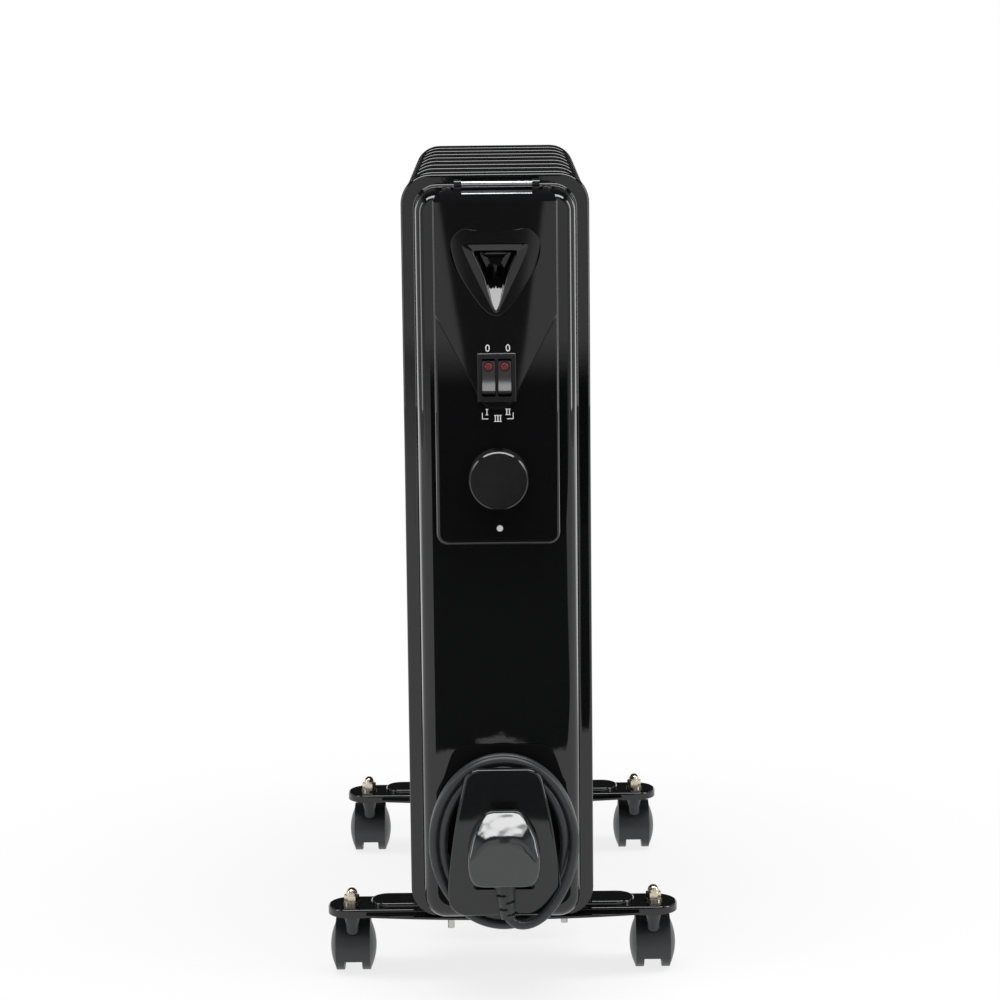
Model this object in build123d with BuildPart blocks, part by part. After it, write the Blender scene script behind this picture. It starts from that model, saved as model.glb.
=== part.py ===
"""Oil filled radiator heater on four casters, with its lead wound on a hub and its plug docked.

Millimetres, +Z up, standing on Z = 0. The control end faces -Y, and +X is the right-hand side seen
from there. The origin is on the floor under the middle of the heater, its lead and plug left out.
Depths are measured from the front face of the cover's flange, positive towards the back.
"""

from build123d import *
from math import cos, radians, sin, sqrt, tan
import os

os.makedirs("parts", exist_ok=True)

# ---------------------------------------------------------------- driving dimensions
sheet = 0.8                 # pressed steel of the cover and of each half of a fin
gap = 0.3                   # between pieces that are laid against each other
running = 0.05              # radial clearance of a turning fit

cover_width = 130.0
cover_bottom = 52.0
cover_top = 581.0
cover_corner = 21.0
cover_fold = 5.5            # how far the cover's edge is folded back
fold_radius = 2.5

box_margin_side = 9.4       # flange left showing round the drawn box
box_margin_top = 8.2
box_margin_bottom = 8.0
box_depth = 38.0
box_draft = 2.5             # degrees
box_corner = 16.0
box_edge = 9.0              # rounding between the box's face and its sides
root_radius = 2.0

fin_count = 9
fin_pitch = 44.0
fin_fold = 14.0             # depth of the folded edge
header_radius = 23.0        # collar that joins one fin to the next
header_bore = 19.0
header_boss = 30.0          # foot of the pressed boss round each collar
header_from_edge = 40.0     # collar centre, from the fin's top and bottom edges
channel_rise = 5.0          # how far the oil channels stand out of the fin
channel_spacing = 52.0
channel_width = 24.0
channel_taper = 40.0        # slope of the pressed channels' sides, degrees

switch_z = cover_top - 134.2        # the middle of the controls; all others follow it
knob_z = switch_z - 69.7
knob_x = 0.6

panel_width = 84.0
panel_bottom = knob_z - 45.6
panel_depth = 15.0
panel_wall = 2.4
panel_corner = 8.0
panel_edge = 2.2
panel_crease = 6.5          # from the panel's top down to the crease where its face begins
panel_slope_run = 8.0       # the slope between them, front to back
panel_slope_drop = 1.6      # from the panel's top down to the back of the slope
raised_step = 1.0           # the pointed upper field stands out of the panel
raised_side = switch_z + 43.6       # height at which the field leaves the panel's sides
raised_tip = switch_z - 36.8
raised_tip_radius = 13.0
raised_slope = 35.0         # slope of the step round it, degrees

scoop_tip = switch_z + 41.4
scoop_dip = scoop_tip + 56.8        # lowest point of the grip recess's upper edge
scoop_lobe = scoop_tip + 59.2
scoop_wide = scoop_tip + 47.8       # height where it is widest
scoop_half_width = 30.3
scoop_depth = 21.0
scoop_wall = 1.6
scoop_mouth_top = scoop_wide + 0.5
scoop_mouth_half = 20.4
scoop_mouth_tip = scoop_tip + 1.6
scoop_draft = 10.0          # degrees
scoop_rim = 2.4             # rounded rim of the mouth
scoop_floor_foot = scoop_tip + 31.8 # height where the ramp meets the back wall

switch_width = 26.0
switch_height = 33.2
switch_rim = 1.2
switch_body_depth = 22.0
rocker_width = 8.6
rocker_pitch = 10.9
rocker_tilt = 8.0           # degrees either side of the middle
rocker_dish = 42.0          # radius of the rocker's hollow face
rocker_pivot_depth = 6.0    # pivot, behind the switch's rim
rocker_pin = 1.3
lens_radius = 3.4
lens_height = 6.6           # lens centre above the pivot
lens_rise = 1.2

knob_radius = 20.4
knob_height = 9.0
knob_edge = 0.9
knob_hub = 6.0
shaft_radius = 3.0
bush_radius = 5.0

grip_bar_radius = 2.6
grip_bar_length = 56.0
grip_bar_depth = -25.0
grip_bar_rise = 0.8         # daylight between the bar and the box
grip_x = 1.4                # middle of the grip bar
grip_foot_width = 4.0
grip_foot_length = 6.6
grip_foot_wall = 1.0
top_screw_spacing = 67.0
top_screw_radius = 3.6
top_screw_head = 1.8
top_screw_length = 9.0

back_plate_top = 187.7
back_plate_bottom = 72.0
back_plate_half_top = 26.7
back_plate_half = 46.5
back_plate_corner = 10.0
back_plate_waist = 140.0    # height at which its sides turn upright
back_plate_thickness = 2.0
hub_radius = 22.0
hub_top = 168.6
hub_bottom = 88.0
hub_wall = 2.5
dock_top = 177.0
dock_bottom = 72.3
dock_half_top = 25.0
dock_half_bottom = 38.9
dock_waist = 95.0           # height at which its sides turn upright
dock_corner_top = 11.0
dock_corner_bottom = 13.0
dock_depth = 28.0           # dock plate's face, in front of the box
dock_plate = 5.0
dock_edge = 2.0
dock_seat = 2.2             # depth of the seat that the plug lies in
dock_seat_gap = 0.5
dock_bay_depth = 3.6        # depth of the finger notch above the plug and the bay below it
dock_notch_rise = 5.8       # height of the notch above the plug
dock_notch_half = 8.2
dock_notch_flare = 13.3
dock_bay_drop = 7.0         # height of the bay below the plug
dock_bay_half = 21.3
dock_bay_corner = 2.5

plug_half = 24.9
plug_half_top = 12.4
plug_bottom = 98.3
plug_top = 148.6
plug_thickness = 21.0
plug_dome = 12.0            # rounding of the plug's upper end, seen from its side
plug_foot = 4.0             # rounding of its lower end
earth_pin = (8.0, 4.0, 22.7)
line_pin = (6.4, 4.0, 17.7)
pin_drop = 22.2             # from the earth pin down to the other two
pin_spacing = 22.2
pin_slot_clearance = 0.6
relief_length = 25.0
relief_top_radius = 7.2
relief_end_radius = 4.6

cord_radius = 3.3
coil_half_width = 52.4
coil_half_height = 62.4
coil_inner_half_width = 36.0
coil_inner_half_height = 47.0
coil_front = 22.2           # front and back of the wound coil, in front of the box
coil_back = 6.0

foot_bar_half = 17.0        # half the width of the raised channel
foot_sheet = 1.5
foot_top = 55.0
foot_pad_depth = 6.4        # side wall at the rounded ends
foot_pad_start = 98.0       # where the ends' deeper side wall begins
foot_lip_top = 51.7
foot_lip_half_end = 21.0    # half width over the lips, at their ends and in the middle
foot_lip_half_mid = 29.5
ridge_half = 13.0
ridge_rise = 3.5
ridge_end = 95.0
caster_spacing = 218.0
hanger_rod = 2.5            # radius
hanger_x = (-37.3, 44.4)
hanger_low = (35.8, 38.9)    # lower ends of a hanger's two legs
hanger_nut_across = 8.0
hanger_nut_height = 4.0

wheel_radius = 18.5
wheel_inner = 6.4           # wheel faces, from the middle of the caster
wheel_tread = 12.6
wheel_dome = 16.6
wheel_edge = 1.2
axle_radius = 2.5
axle_reach = 12.0
caster_trail = 17.0
hood_gap = 0.8
hood_wall = 1.3
hood_half = 12.5
hood_front_angle = 202.0    # degrees round the axle, from the back over the top
hood_rear_angle = 12.0
web_half = 6.1
socket_top = 47.8
socket_bottom = 35.5
socket_top_radius = 5.7
socket_low_radius = 4.4
socket_tip = 31.5
stem_radius = 3.0
stem_collar = 4.5
washer_radius = 6.3
washer_thickness = 1.4
cap_nut_across = 9.6
cap_nut_hex = 4.8
cap_nut_height = 10.0
cap_nut_dome = 4.3
cap_nut_wall = 2.4

# ---------------------------------------------------------------- derived places
fin_sheet = 2 * sheet
fin_first = sheet + gap                             # front face of the first fin
fin_inset = sheet + gap                             # it slips inside the cover's folded edge
fin_bottom = cover_bottom
fin_top = cover_top - fin_inset
fin_width = cover_width - 2 * fin_inset
header_low = fin_bottom + header_from_edge
header_high = fin_top - header_from_edge
foot_depth = fin_first + fin_sheet / 2 + fin_pitch / 2
foot_spacing = (fin_count - 2) * fin_pitch          # feet hang in the first and last gaps
box_top = cover_top - box_margin_top
box_bottom = cover_bottom + box_margin_bottom
box_half = cover_width / 2 - box_margin_side
box_height = box_top - box_bottom
box_mid = (box_top + box_bottom) / 2
box_shrink = box_depth * tan(radians(box_draft))
grip_seat = box_top + grip_bar_depth * tan(radians(box_draft))
grip_bar_z = grip_seat + grip_bar_rise + grip_bar_radius
panel_top = box_top - box_shrink + 0.6
panel_back = -box_depth - 0.1                       # the panel lies on the box's face
panel_face = panel_back - panel_depth
raised_face = panel_face - raised_step
hood_outer = wheel_radius + hood_gap + hood_wall
dock_face = -box_depth - dock_depth
front_reach = max(-dock_face, -panel_face + gap + knob_height)
back_reach = foot_depth + foot_spacing + caster_trail + hood_outer
flange_y = (front_reach - back_reach) / 2           # puts the origin under the middle


def across(depth):
    """Upright plane across the heater, at a depth behind the cover's flange, looking to the front."""
    return Plane.XZ.offset(-(flange_y + depth))


def level(height):
    """Horizontal plane."""
    return Plane.XY.offset(height)


def side(x):
    """Upright plane along the heater: its own x runs to the back and its y up."""
    return Plane((x, flange_y, 0), x_dir=(0, 1, 0), z_dir=(1, 0, 0))


def save(builder, name):
    builder.part.label = name
    export_step(builder.part, f"parts/{name}.step")


def folded_tray(width, bottom, top, corner, front, thick, depth):
    """A rounded sheet whose edge turns back over a bend at the top and the sides, plain below."""
    below = 60.0
    height, middle = top - bottom, (top + bottom) / 2
    with BuildPart() as tray:
        with BuildSketch(across(front)):
            with Locations((0, middle - below / 2)):
                RectangleRounded(width, height + below, corner)
        extrude(amount=-depth)
        fillet(tray.faces().sort_by(Axis.Y)[0].edges(), fold_radius)
        with BuildPart(mode=Mode.PRIVATE) as hollow:
            with BuildSketch(across(front + thick)):
                with Locations((0, middle - below / 2)):
                    RectangleRounded(width - 2 * thick, height + below - 2 * thick, corner - thick)
            extrude(amount=-depth)
            fillet(hollow.faces().sort_by(Axis.Y)[0].edges(), fold_radius - thick)
        add(hollow.part, mode=Mode.SUBTRACT)
        with BuildSketch(across(front)):
            with Locations((0, middle)):
                RectangleRounded(width, height, corner)
        extrude(amount=-depth, mode=Mode.INTERSECT)
    return tray.part


# ---------------------------------------------------------------- front cover
# One deep-drawn sheet: a flange whose edge folds back over the first fin, and the box that carries
# the controls. A window behind the panel lets the switch, thermostat and grip recess through.
window_half = 32.0
window_top = scoop_lobe + 4.6
window_bottom = knob_z - 18.5
window_corner = 6.0
panel_screw_x = 37.6
panel_screw_z = (knob_z + 15.5, switch_z + 24.0, scoop_lobe + 0.4)
screw_radius = 1.5
screw_head_radius = 3.0
screw_head = 1.8
screw_length = 6.6
screw_clearance = 0.2
hub_screw_z = (96.0, 160.0)
top_screw_places = [(grip_x + x, flange_y + grip_bar_depth)
                    for x in (-top_screw_spacing / 2, top_screw_spacing / 2)]
dock_x = 1.4                # the dock and all that is on it sit this far right of the middle


def drawn_box(margin):
    """The box, with every wall moved in by a margin, from the flange's plane to its rounded face."""
    with BuildPart() as box:
        with BuildSketch(across(margin)):
            with Locations((0, box_mid)):
                RectangleRounded(2 * (box_half - margin), box_height - 2 * margin, box_corner - margin)
        extrude(amount=box_depth, taper=box_draft)
        fillet(box.faces().sort_by(Axis.Y)[0].edges(), box_edge - margin)
    return box.part


with BuildPart() as front_cover:
    add(folded_tray(cover_width, cover_bottom, cover_top, cover_corner, 0, sheet, cover_fold))
    add(drawn_box(0))
    root = [e for e in front_cover.edges().filter_by_position(Axis.Y, flange_y - 0.01, flange_y + 0.01)
            if abs(e.center().X) < box_half + 1 and box_bottom - 1 < e.center().Z < box_top + 1]
    fillet(root, root_radius)
    add(drawn_box(sheet), mode=Mode.SUBTRACT)
    with BuildSketch(across(0)):
        with Locations((0, (window_top + window_bottom) / 2)):
            RectangleRounded(2 * window_half, window_top - window_bottom, window_corner)
        with Locations(*[(x, z) for x in (-panel_screw_x, panel_screw_x) for z in panel_screw_z]):
            Circle(screw_radius + screw_clearance)
        with Locations(*[(dock_x, z) for z in hub_screw_z]):
            Circle(screw_radius + screw_clearance)
    extrude(amount=2 * box_depth, mode=Mode.SUBTRACT)
    with BuildSketch(level(box_top - 5)):
        with Locations(*top_screw_places):
            Circle(screw_radius + screw_clearance)
    extrude(amount=10, mode=Mode.SUBTRACT)
save(front_cover, "front_cover")


# ---------------------------------------------------------------- radiator fins
# Nine flat hollow fins, each of two pressed sheets welded at the rim. Oil fills the two upright
# channels, the crossovers and the headers, whose collars are welded between the fins.
def channels(margin):
    """Outline of a fin's oil space, seen from the front, moved in by a margin."""
    with BuildSketch() as outline:
        with Locations(*[(x, (header_low + header_high) / 2) for x in (-channel_spacing / 2, channel_spacing / 2)]):
            SlotOverall(header_high - header_low + channel_width, channel_width, rotation=90)
        for z in (header_low, header_high):
            with Locations((0, z)):
                SlotOverall(channel_spacing + channel_width, channel_width)
                Circle(header_boss)
        inner = [v for v in outline.vertices() if abs(v.X) < channel_spacing / 2]
        fillet(inner, 8)
        if margin:
            offset(amount=-margin, mode=Mode.REPLACE)
    return outline.sketch


def fin_blank():
    """A fin with its channels pressed out on both sides, and the oil space between its sheets."""
    with BuildPart() as blank:
        add(folded_tray(fin_width, fin_bottom, fin_top, cover_corner - fin_inset, fin_first, fin_sheet, fin_fold))
        with BuildSketch(across(fin_first)):
            add(channels(0))
        extrude(amount=channel_rise, taper=channel_taper)
        with BuildSketch(across(fin_first + fin_sheet).rotated((180, 0, 0))):
            mirror(channels(0), about=Plane.XZ)
        extrude(amount=channel_rise, taper=channel_taper)
        for way in (across(fin_middle), across(fin_middle).rotated((180, 0, 0))):
            with BuildSketch(way):
                if way.z_dir.Y < 0:
                    add(channels(oil_margin))
                else:
                    mirror(channels(oil_margin), about=Plane.XZ)
            extrude(amount=channel_rise, taper=channel_taper, mode=Mode.SUBTRACT)
    return blank.part


fin_middle = fin_first + sheet
oil_margin = 1.2            # keeps the wall one sheet thick along the channels' slopes
ring_reach = 6.0            # threaded ring for the element, in front of the first fin
ring_radius = 25.0
blank = fin_blank()


def headers(radius, front, back, heights=(header_low, header_high)):
    """Round bars along the radiator at the headers' heights, between two depths."""
    with BuildPart() as bars:
        with BuildSketch(across(back)):
            with Locations(*[(0, z) for z in heights]):
                Circle(radius)
        extrude(amount=back - front)
    return bars.part


for number in range(fin_count):
    middle = fin_middle + number * fin_pitch
    first, last = number == 0, number == fin_count - 1
    to_front = middle - (0 if first else fin_pitch / 2)     # the bore stays closed at the two ends
    to_back = middle + (0 if last else fin_pitch / 2)
    with BuildPart() as fin:
        add(Pos(0, number * fin_pitch, 0) * blank)
        if first:
            add(headers(ring_radius, fin_first - ring_reach, middle, [header_low]))
            add(headers(header_bore, fin_first - ring_reach, middle, [header_low]), mode=Mode.SUBTRACT)
        add(headers(header_bore, to_front, to_back), mode=Mode.SUBTRACT)
    save(fin, f"fin_{number + 1}")

with BuildPart() as header_collars:
    for number in range(fin_count - 1):
        middle = fin_middle + number * fin_pitch
        collar_front = middle + sheet + channel_rise + running
        collar_back = middle + fin_pitch - sheet - channel_rise - running
        add(headers(header_radius, collar_front, collar_back))
        add(headers(header_bore, collar_front, collar_back), mode=Mode.SUBTRACT)
save(header_collars, "header_collars")


# ---------------------------------------------------------------- heating element
# Three hairpin tubes in the lower header, on a brass head screwed into the first fin's ring.
gasket_thickness = 1.5
head_thickness = 7.0
head_across = 46.0
element_radius = 4.0
element_spacing = 15.0
element_end = 306.0
element_pins = 14.0
ring_face = fin_first - ring_reach

with BuildPart() as element_gasket:
    with BuildSketch(across(ring_face)):
        with Locations((0, header_low)):
            Circle(ring_radius)
            Circle(header_bore, mode=Mode.SUBTRACT)
    extrude(amount=gasket_thickness)
save(element_gasket, "element_gasket")

head_back = ring_face - gasket_thickness
with BuildPart() as element_flange:
    with BuildSketch(across(head_back)):
        with Locations((0, header_low)):
            RegularPolygon(head_across / 2, 6, major_radius=False)
    extrude(amount=head_thickness)
    chamfer(element_flange.faces().sort_by(Axis.Y)[0].edges(), 1.5)
    with BuildSketch(across(head_back)):
        with Locations((0, header_low)):
            Circle(header_bore - running)
    extrude(amount=-9)
    with BuildSketch(across(head_back - head_thickness)):
        with Locations((0, header_low)):
            with Locations(*[(x, z) for x in (-element_spacing / 2, element_spacing / 2)
                             for z in (-element_spacing / 2, element_spacing / 2)]):
                Circle(element_radius)
    extrude(amount=-40, mode=Mode.SUBTRACT)
save(element_flange, "element_flange")

with BuildPart() as heating_elements:
    for z in (header_low - element_spacing / 2, header_low + element_spacing / 2):
        with BuildSketch(across(head_back - head_thickness - element_pins)):
            with Locations((-element_spacing / 2, z), (element_spacing / 2, z)):
                Circle(element_radius)
        extrude(amount=-(element_end - head_back + head_thickness + element_pins))
        with BuildSketch(across(element_end)):
            with Locations((element_spacing / 2, z)):
                Circle(element_radius)
        revolve(axis=Axis((0, flange_y + element_end, z), (0, 0, 1)), revolution_arc=180)
save(heating_elements, "heating_elements")

# ---------------------------------------------------------------- inside the cover
# Push-on terminals stand on the element's head, and a thermal cut-out is clipped to the first fin.
terminal_width = 30.0
terminal_height = 34.0
terminal_depth = 9.0
cutout_z = 270.0
cutout_radius = 8.5
cutout_height = 7.0
cutout_strap = (26.0, 9.0)
cutout_tab = (9.0, 5.0, 8.0)        # apart, wide, long
terminal_front = head_back - head_thickness - gap

with BuildPart() as terminal_block:
    with BuildSketch(across(terminal_front)):
        with Locations((0, header_low)):
            RectangleRounded(terminal_width, terminal_height, 3)
    extrude(amount=terminal_depth)
    with BuildSketch(across(terminal_front)):
        with Locations(*[(x, header_low + z) for x in (-element_spacing / 2, element_spacing / 2)
                         for z in (-element_spacing / 2, element_spacing / 2)]):
            Circle(element_radius + running)
    extrude(amount=terminal_depth, mode=Mode.SUBTRACT)
save(terminal_block, "terminal_block")

with BuildPart() as thermal_cutout:
    with BuildSketch(across(fin_first - gap)):
        with Locations((0, cutout_z)):
            Rectangle(*cutout_strap)
    extrude(amount=sheet)
    with BuildSketch(across(fin_first - gap - sheet)):
        with Locations((0, cutout_z)):
            Circle(cutout_radius)
    extrude(amount=cutout_height)
    with BuildSketch(across(fin_first - gap - sheet - cutout_height)):
        with Locations((-cutout_tab[0] / 2, cutout_z), (cutout_tab[0] / 2, cutout_z)):
            Rectangle(sheet, cutout_tab[1])
    extrude(amount=cutout_tab[2])
save(thermal_cutout, "thermal_cutout")


# ---------------------------------------------------------------- control panel
# A moulded panel screwed to the box's face from inside. Its upper field stands one step proud and
# runs down to a rounded point.
panel_wrap = 9.0            # the panel's top hooks back over the box's rounded edge
switch_clearance = 0.15
boss_radius = 3.2
shaft_clearance = 0.5


def scoop_outline():
    """Shield shape of the grip recess: two lobes above, a dip between them, a point below."""
    half, fall = scoop_half_width, scoop_wide - scoop_tip
    with BuildSketch() as shield:
        with BuildLine():
            edge = Spline((0, scoop_dip), (0.4 * half, (scoop_dip + scoop_lobe) / 2), (0.72 * half, scoop_lobe),
                          (0.93 * half, 0.6 * scoop_lobe + 0.4 * scoop_wide), (half, scoop_wide),
                          (0.815 * half, scoop_wide - 0.4 * fall), (0.353 * half, scoop_wide - 0.85 * fall),
                          (0, scoop_tip), tangents=[(1, 0), (-1, 0)])
            mirror(edge, about=Plane.YZ)
        make_face()
    return shield.sketch


def panel_block(inset, back, front):
    """The panel pulled to the front with a rounded rim and a sloping top, its walls moved in."""
    half = panel_width / 2 - inset
    low, high = panel_bottom + inset, panel_top - inset
    with BuildPart() as block:
        with BuildSketch(across(back)):
            with Locations((0, (low + high) / 2)):
                RectangleRounded(2 * half, high - low, panel_corner - inset)
        extrude(amount=back - front)
        fillet(block.faces().sort_by(Axis.Y)[0].edges(), panel_edge)
        with BuildSketch(side(0)):
            with BuildLine():
                Polyline((front, low), (front, high - panel_crease),
                         (front + panel_slope_run, high - panel_slope_drop), (back, high), (back, low), close=True)
            make_face()
        extrude(amount=panel_width, both=True, mode=Mode.INTERSECT)
    return block.part


def raised_field():
    """Outline of the proud upper field, run on past the panel's sides and top."""
    with BuildSketch() as field:
        with BuildLine():
            high = 2 * raised_side - raised_tip
            Polyline((-panel_width, high), (0, raised_tip), (panel_width, high),
                     (panel_width, high + panel_width), (-panel_width, high + panel_width), close=True)
        make_face()
        fillet(field.vertices().sort_by(Axis.Y)[0], raised_tip_radius)
    return field.sketch


with BuildPart() as control_panel:
    add(panel_block(0, panel_back + panel_wrap, panel_face))
    with BuildPart(mode=Mode.PRIVATE) as field:
        with BuildSketch(across(panel_face)):
            add(raised_field())
        extrude(amount=2 * raised_step, taper=raised_slope)
        with BuildSketch(across(panel_back)):
            add(raised_field())
        extrude(amount=panel_depth)
        add(panel_block(0, panel_back, raised_face), mode=Mode.INTERSECT)
    add(field.part)
    add(drawn_box(-0.1), mode=Mode.SUBTRACT)
    with BuildPart(mode=Mode.PRIVATE) as hollow:
        add(panel_block(panel_wall, panel_back, panel_face + panel_wall))
    add(hollow.part, mode=Mode.SUBTRACT)
    with BuildSketch(across(panel_face + panel_wall)):
        with Locations(*[(x, z) for x in (-panel_screw_x, panel_screw_x) for z in panel_screw_z]):
            Circle(boss_radius)
    extrude(amount=-(panel_back - panel_face - panel_wall))
    with BuildSketch(across(panel_back)):
        with Locations(*[(x, z) for x in (-panel_screw_x, panel_screw_x) for z in panel_screw_z]):
            Circle(screw_radius)
    extrude(amount=8, mode=Mode.SUBTRACT)
    with BuildSketch(across(0)):
        add(scoop_outline())
        with Locations((0, switch_z)):
            RectangleRounded(switch_width - 2 * switch_rim, switch_height - 2 * switch_rim, 1)
        with Locations((knob_x, knob_z)):
            Circle(shaft_radius + shaft_clearance)
    extrude(amount=box_depth + 2 * panel_depth, mode=Mode.SUBTRACT)
save(control_panel, "control_panel")


# ---------------------------------------------------------------- grip recess
# A moulded pocket for the fingers, let into the panel: deep under its upper edge, with a floor
# that runs out to the face at the pointed end.
scoop_face = raised_face + 0.5
scoop_mouth_corner = 4.0


def mouth(margin):
    """Outline of the recess's mouth, moved out by a margin."""
    with BuildSketch() as opening:
        with BuildLine():
            Polyline((-scoop_mouth_half, scoop_mouth_top), (0, scoop_mouth_tip),
                     (scoop_mouth_half, scoop_mouth_top), close=True)
        make_face()
        fillet(opening.vertices(), scoop_mouth_corner)
        if margin:
            offset(amount=margin)
    return opening.sketch


def scoop_pocket(margin):
    """The pocket, or with a margin the moulding's wall round it."""
    shrink = scoop_rim + scoop_depth * tan(radians(scoop_draft))
    behind = scoop_face + scoop_depth + margin
    with BuildPart() as pocket:
        with BuildSketch(across(behind)):
            add(mouth(margin - shrink))
        extrude(amount=scoop_depth + margin, taper=-scoop_draft)
        with BuildSketch(side(0)):
            with BuildLine():
                Polyline((scoop_face - 1, scoop_mouth_top + margin), (behind, scoop_mouth_top + margin),
                         (behind, scoop_floor_foot - margin), (scoop_face, scoop_mouth_tip - 2 * margin),
                         (scoop_face - 1, scoop_mouth_tip - 2 * margin), close=True)
            make_face()
        extrude(amount=2 * scoop_half_width, both=True, mode=Mode.INTERSECT)
    return pocket.part


with BuildPart() as grip_scoop:
    with BuildSketch(across(panel_face + panel_wall)):
        add(scoop_outline())
    extrude(amount=panel_face + panel_wall - scoop_face)
    chamfer(grip_scoop.faces().sort_by(Axis.Y)[0].edges(), 0.6)
    with BuildPart(mode=Mode.PRIVATE) as wall:
        add(scoop_pocket(scoop_wall))
        with BuildSketch(across(scoop_face + scoop_depth + 2 * scoop_wall)):
            add(mouth(2 * scoop_wall))
        extrude(amount=scoop_depth + scoop_wall, mode=Mode.INTERSECT)
    add(wall.part)
    add(scoop_pocket(0), mode=Mode.SUBTRACT)
    rim = [e for e in grip_scoop.faces().sort_by(Axis.Y)[0].inner_wires()[0].edges()]
    fillet(rim, scoop_rim)
save(grip_scoop, "grip_scoop")


# ---------------------------------------------------------------- switches
# Two rocker switches side by side in one frame. Each rocker turns on two pins moulded on its
# sides, and carries a small red lens near its upper end.
rocker_x = (-rocker_pitch / 2, rocker_pitch / 2)
rocker_side = 0.3           # clearance round a rocker
rocker_corner = 6.6         # face corners, in front of the pivot
rocker_reach = 12.6         # radius of its rounded ends about the pivot
rocker_heel = 2.0
frame_face = raised_face - 1.0
pivot_depth = frame_face + rocker_pivot_depth
frame_back = pivot_depth + 4.2
opening_half = rocker_reach + rocker_side
pin_outer = 1.6
pin_inner = 0.6

with BuildPart() as switch_frame:
    with BuildSketch(across(raised_face)):
        with Locations((0, switch_z)):
            RectangleRounded(switch_width, switch_height, 1)
    extrude(amount=raised_face - frame_face)
    chamfer(switch_frame.faces().sort_by(Axis.Y)[0].edges(), 0.5)
    with BuildSketch(across(frame_back)):
        with Locations((0, switch_z)):
            inset = 2 * (switch_rim + switch_clearance)
            RectangleRounded(switch_width - inset, switch_height - inset, 0.8)
    extrude(amount=frame_back - raised_face)
    with BuildSketch(across(frame_back)):
        with Locations(*[(x, switch_z) for x in rocker_x]):
            RectangleRounded(rocker_width + 2 * rocker_side, 2 * opening_half, 1)
    extrude(amount=30, mode=Mode.SUBTRACT)
    with BuildSketch(side(-rocker_pitch / 2 - rocker_width / 2 - pin_outer - 0.2)):
        with Locations((pivot_depth, switch_z)):
            Circle(rocker_pin + running)
    extrude(amount=rocker_pitch + rocker_width + 2 * pin_outer + 0.4, mode=Mode.SUBTRACT)
save(switch_frame, "switch_frame")

with BuildPart() as switch_body:
    with BuildSketch(across(frame_back + 0.1)):
        with Locations((0, switch_z)):
            Rectangle(switch_width - 4, switch_height - 4)
    extrude(amount=-switch_body_depth)
    chamfer(switch_body.edges().filter_by(Axis.Y), 1)
    with BuildSketch(across(frame_back + 0.1 + switch_body_depth)):
        with GridLocations(8, 9, 2, 3):
            with Locations((0, switch_z)):
                Rectangle(sheet, 5)
    extrude(amount=-8)
save(switch_body, "switch_body")


def rocker_outline():
    """A rocker seen from its side, upright, about its pivot: hollow face to the front."""
    end = sqrt(rocker_reach ** 2 - rocker_corner ** 2)
    heel = sqrt(rocker_reach ** 2 - rocker_heel ** 2)
    with BuildSketch() as outline:
        with BuildLine():
            RadiusArc((-rocker_corner, -end), (-rocker_corner, end), rocker_dish)
            ThreePointArc((-rocker_corner, end), (0, rocker_reach), (rocker_heel, heel))
            Line((rocker_heel, heel), (rocker_heel, -heel))
            ThreePointArc((rocker_heel, -heel), (0, -rocker_reach), (-rocker_corner, -end))
        make_face()
        fillet(outline.vertices().group_by(Axis.X)[0], 0.5)
    return outline.sketch


for name, x in zip(("left", "right"), rocker_x):
    pivot = Plane((x, flange_y + pivot_depth, switch_z), x_dir=(0, 1, 0), z_dir=(1, 0, 0))
    lean = radians(rocker_tilt)
    tilted = Plane(pivot.origin, x_dir=(0, cos(lean), -sin(lean)), z_dir=(1, 0, 0))
    lens_place = Plane(tilted.from_local_coords(Vector(-rocker_corner + 3, lens_height, 0)),
                       x_dir=(1, 0, 0), z_dir=-tilted.x_dir)
    with BuildPart() as rocker:
        with BuildSketch(tilted):
            add(rocker_outline())
        extrude(amount=rocker_width / 2, both=True)
        inward = 1 if x < 0 else -1
        with BuildSketch(pivot.offset(-inward * (rocker_width / 2 + pin_outer))):
            Circle(rocker_pin)
        extrude(amount=inward * (rocker_width + pin_outer + pin_inner))
        with BuildSketch(lens_place):
            Circle(lens_radius)
        extrude(amount=10, mode=Mode.SUBTRACT)
    save(rocker, f"rocker_{name}")
    with BuildPart() as lens:
        with BuildSketch(lens_place):
            Circle(lens_radius)
        extrude(amount=3 - 1.4 + lens_rise)
        fillet(lens.faces().sort_by(Axis.Y)[0].edges(), 1.6)
    save(lens, f"lens_{name}")


# ---------------------------------------------------------------- thermostat
# The thermostat stands behind the panel on its threaded bush. Its shaft carries the dial knob.
thermostat_width = 34.0
thermostat_height = 30.0
thermostat_depth = 18.0
bush_length = 6.0
knob_skirt_wall = 2.0
knob_face_wall = 2.5
shaft_grip = 5.0            # length of shaft inside the knob's hub
knob_rim = knob_radius - 0.4
knob_back = panel_face - gap
knob_front = knob_back - knob_height
bush_front = panel_face + panel_wall + 0.1

with BuildPart() as thermostat_body:
    with BuildSketch(across(bush_front + bush_length)):
        with Locations((knob_x, knob_z)):
            RectangleRounded(thermostat_width, thermostat_height, 3)
    extrude(amount=-thermostat_depth)
    with BuildSketch(across(bush_front + bush_length)):
        with Locations((knob_x, knob_z)):
            Circle(bush_radius)
    extrude(amount=bush_length)
    with BuildSketch(across(bush_front)):
        with Locations((knob_x, knob_z)):
            Circle(shaft_radius + running)
    extrude(amount=-(bush_length + thermostat_depth - 3), mode=Mode.SUBTRACT)
    with BuildSketch(across(bush_front + bush_length + thermostat_depth)):
        with Locations((knob_x - 10, knob_z), (knob_x + 10, knob_z)):
            Rectangle(6, sheet)
    extrude(amount=-8)
save(thermostat_body, "thermostat_body")

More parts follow.
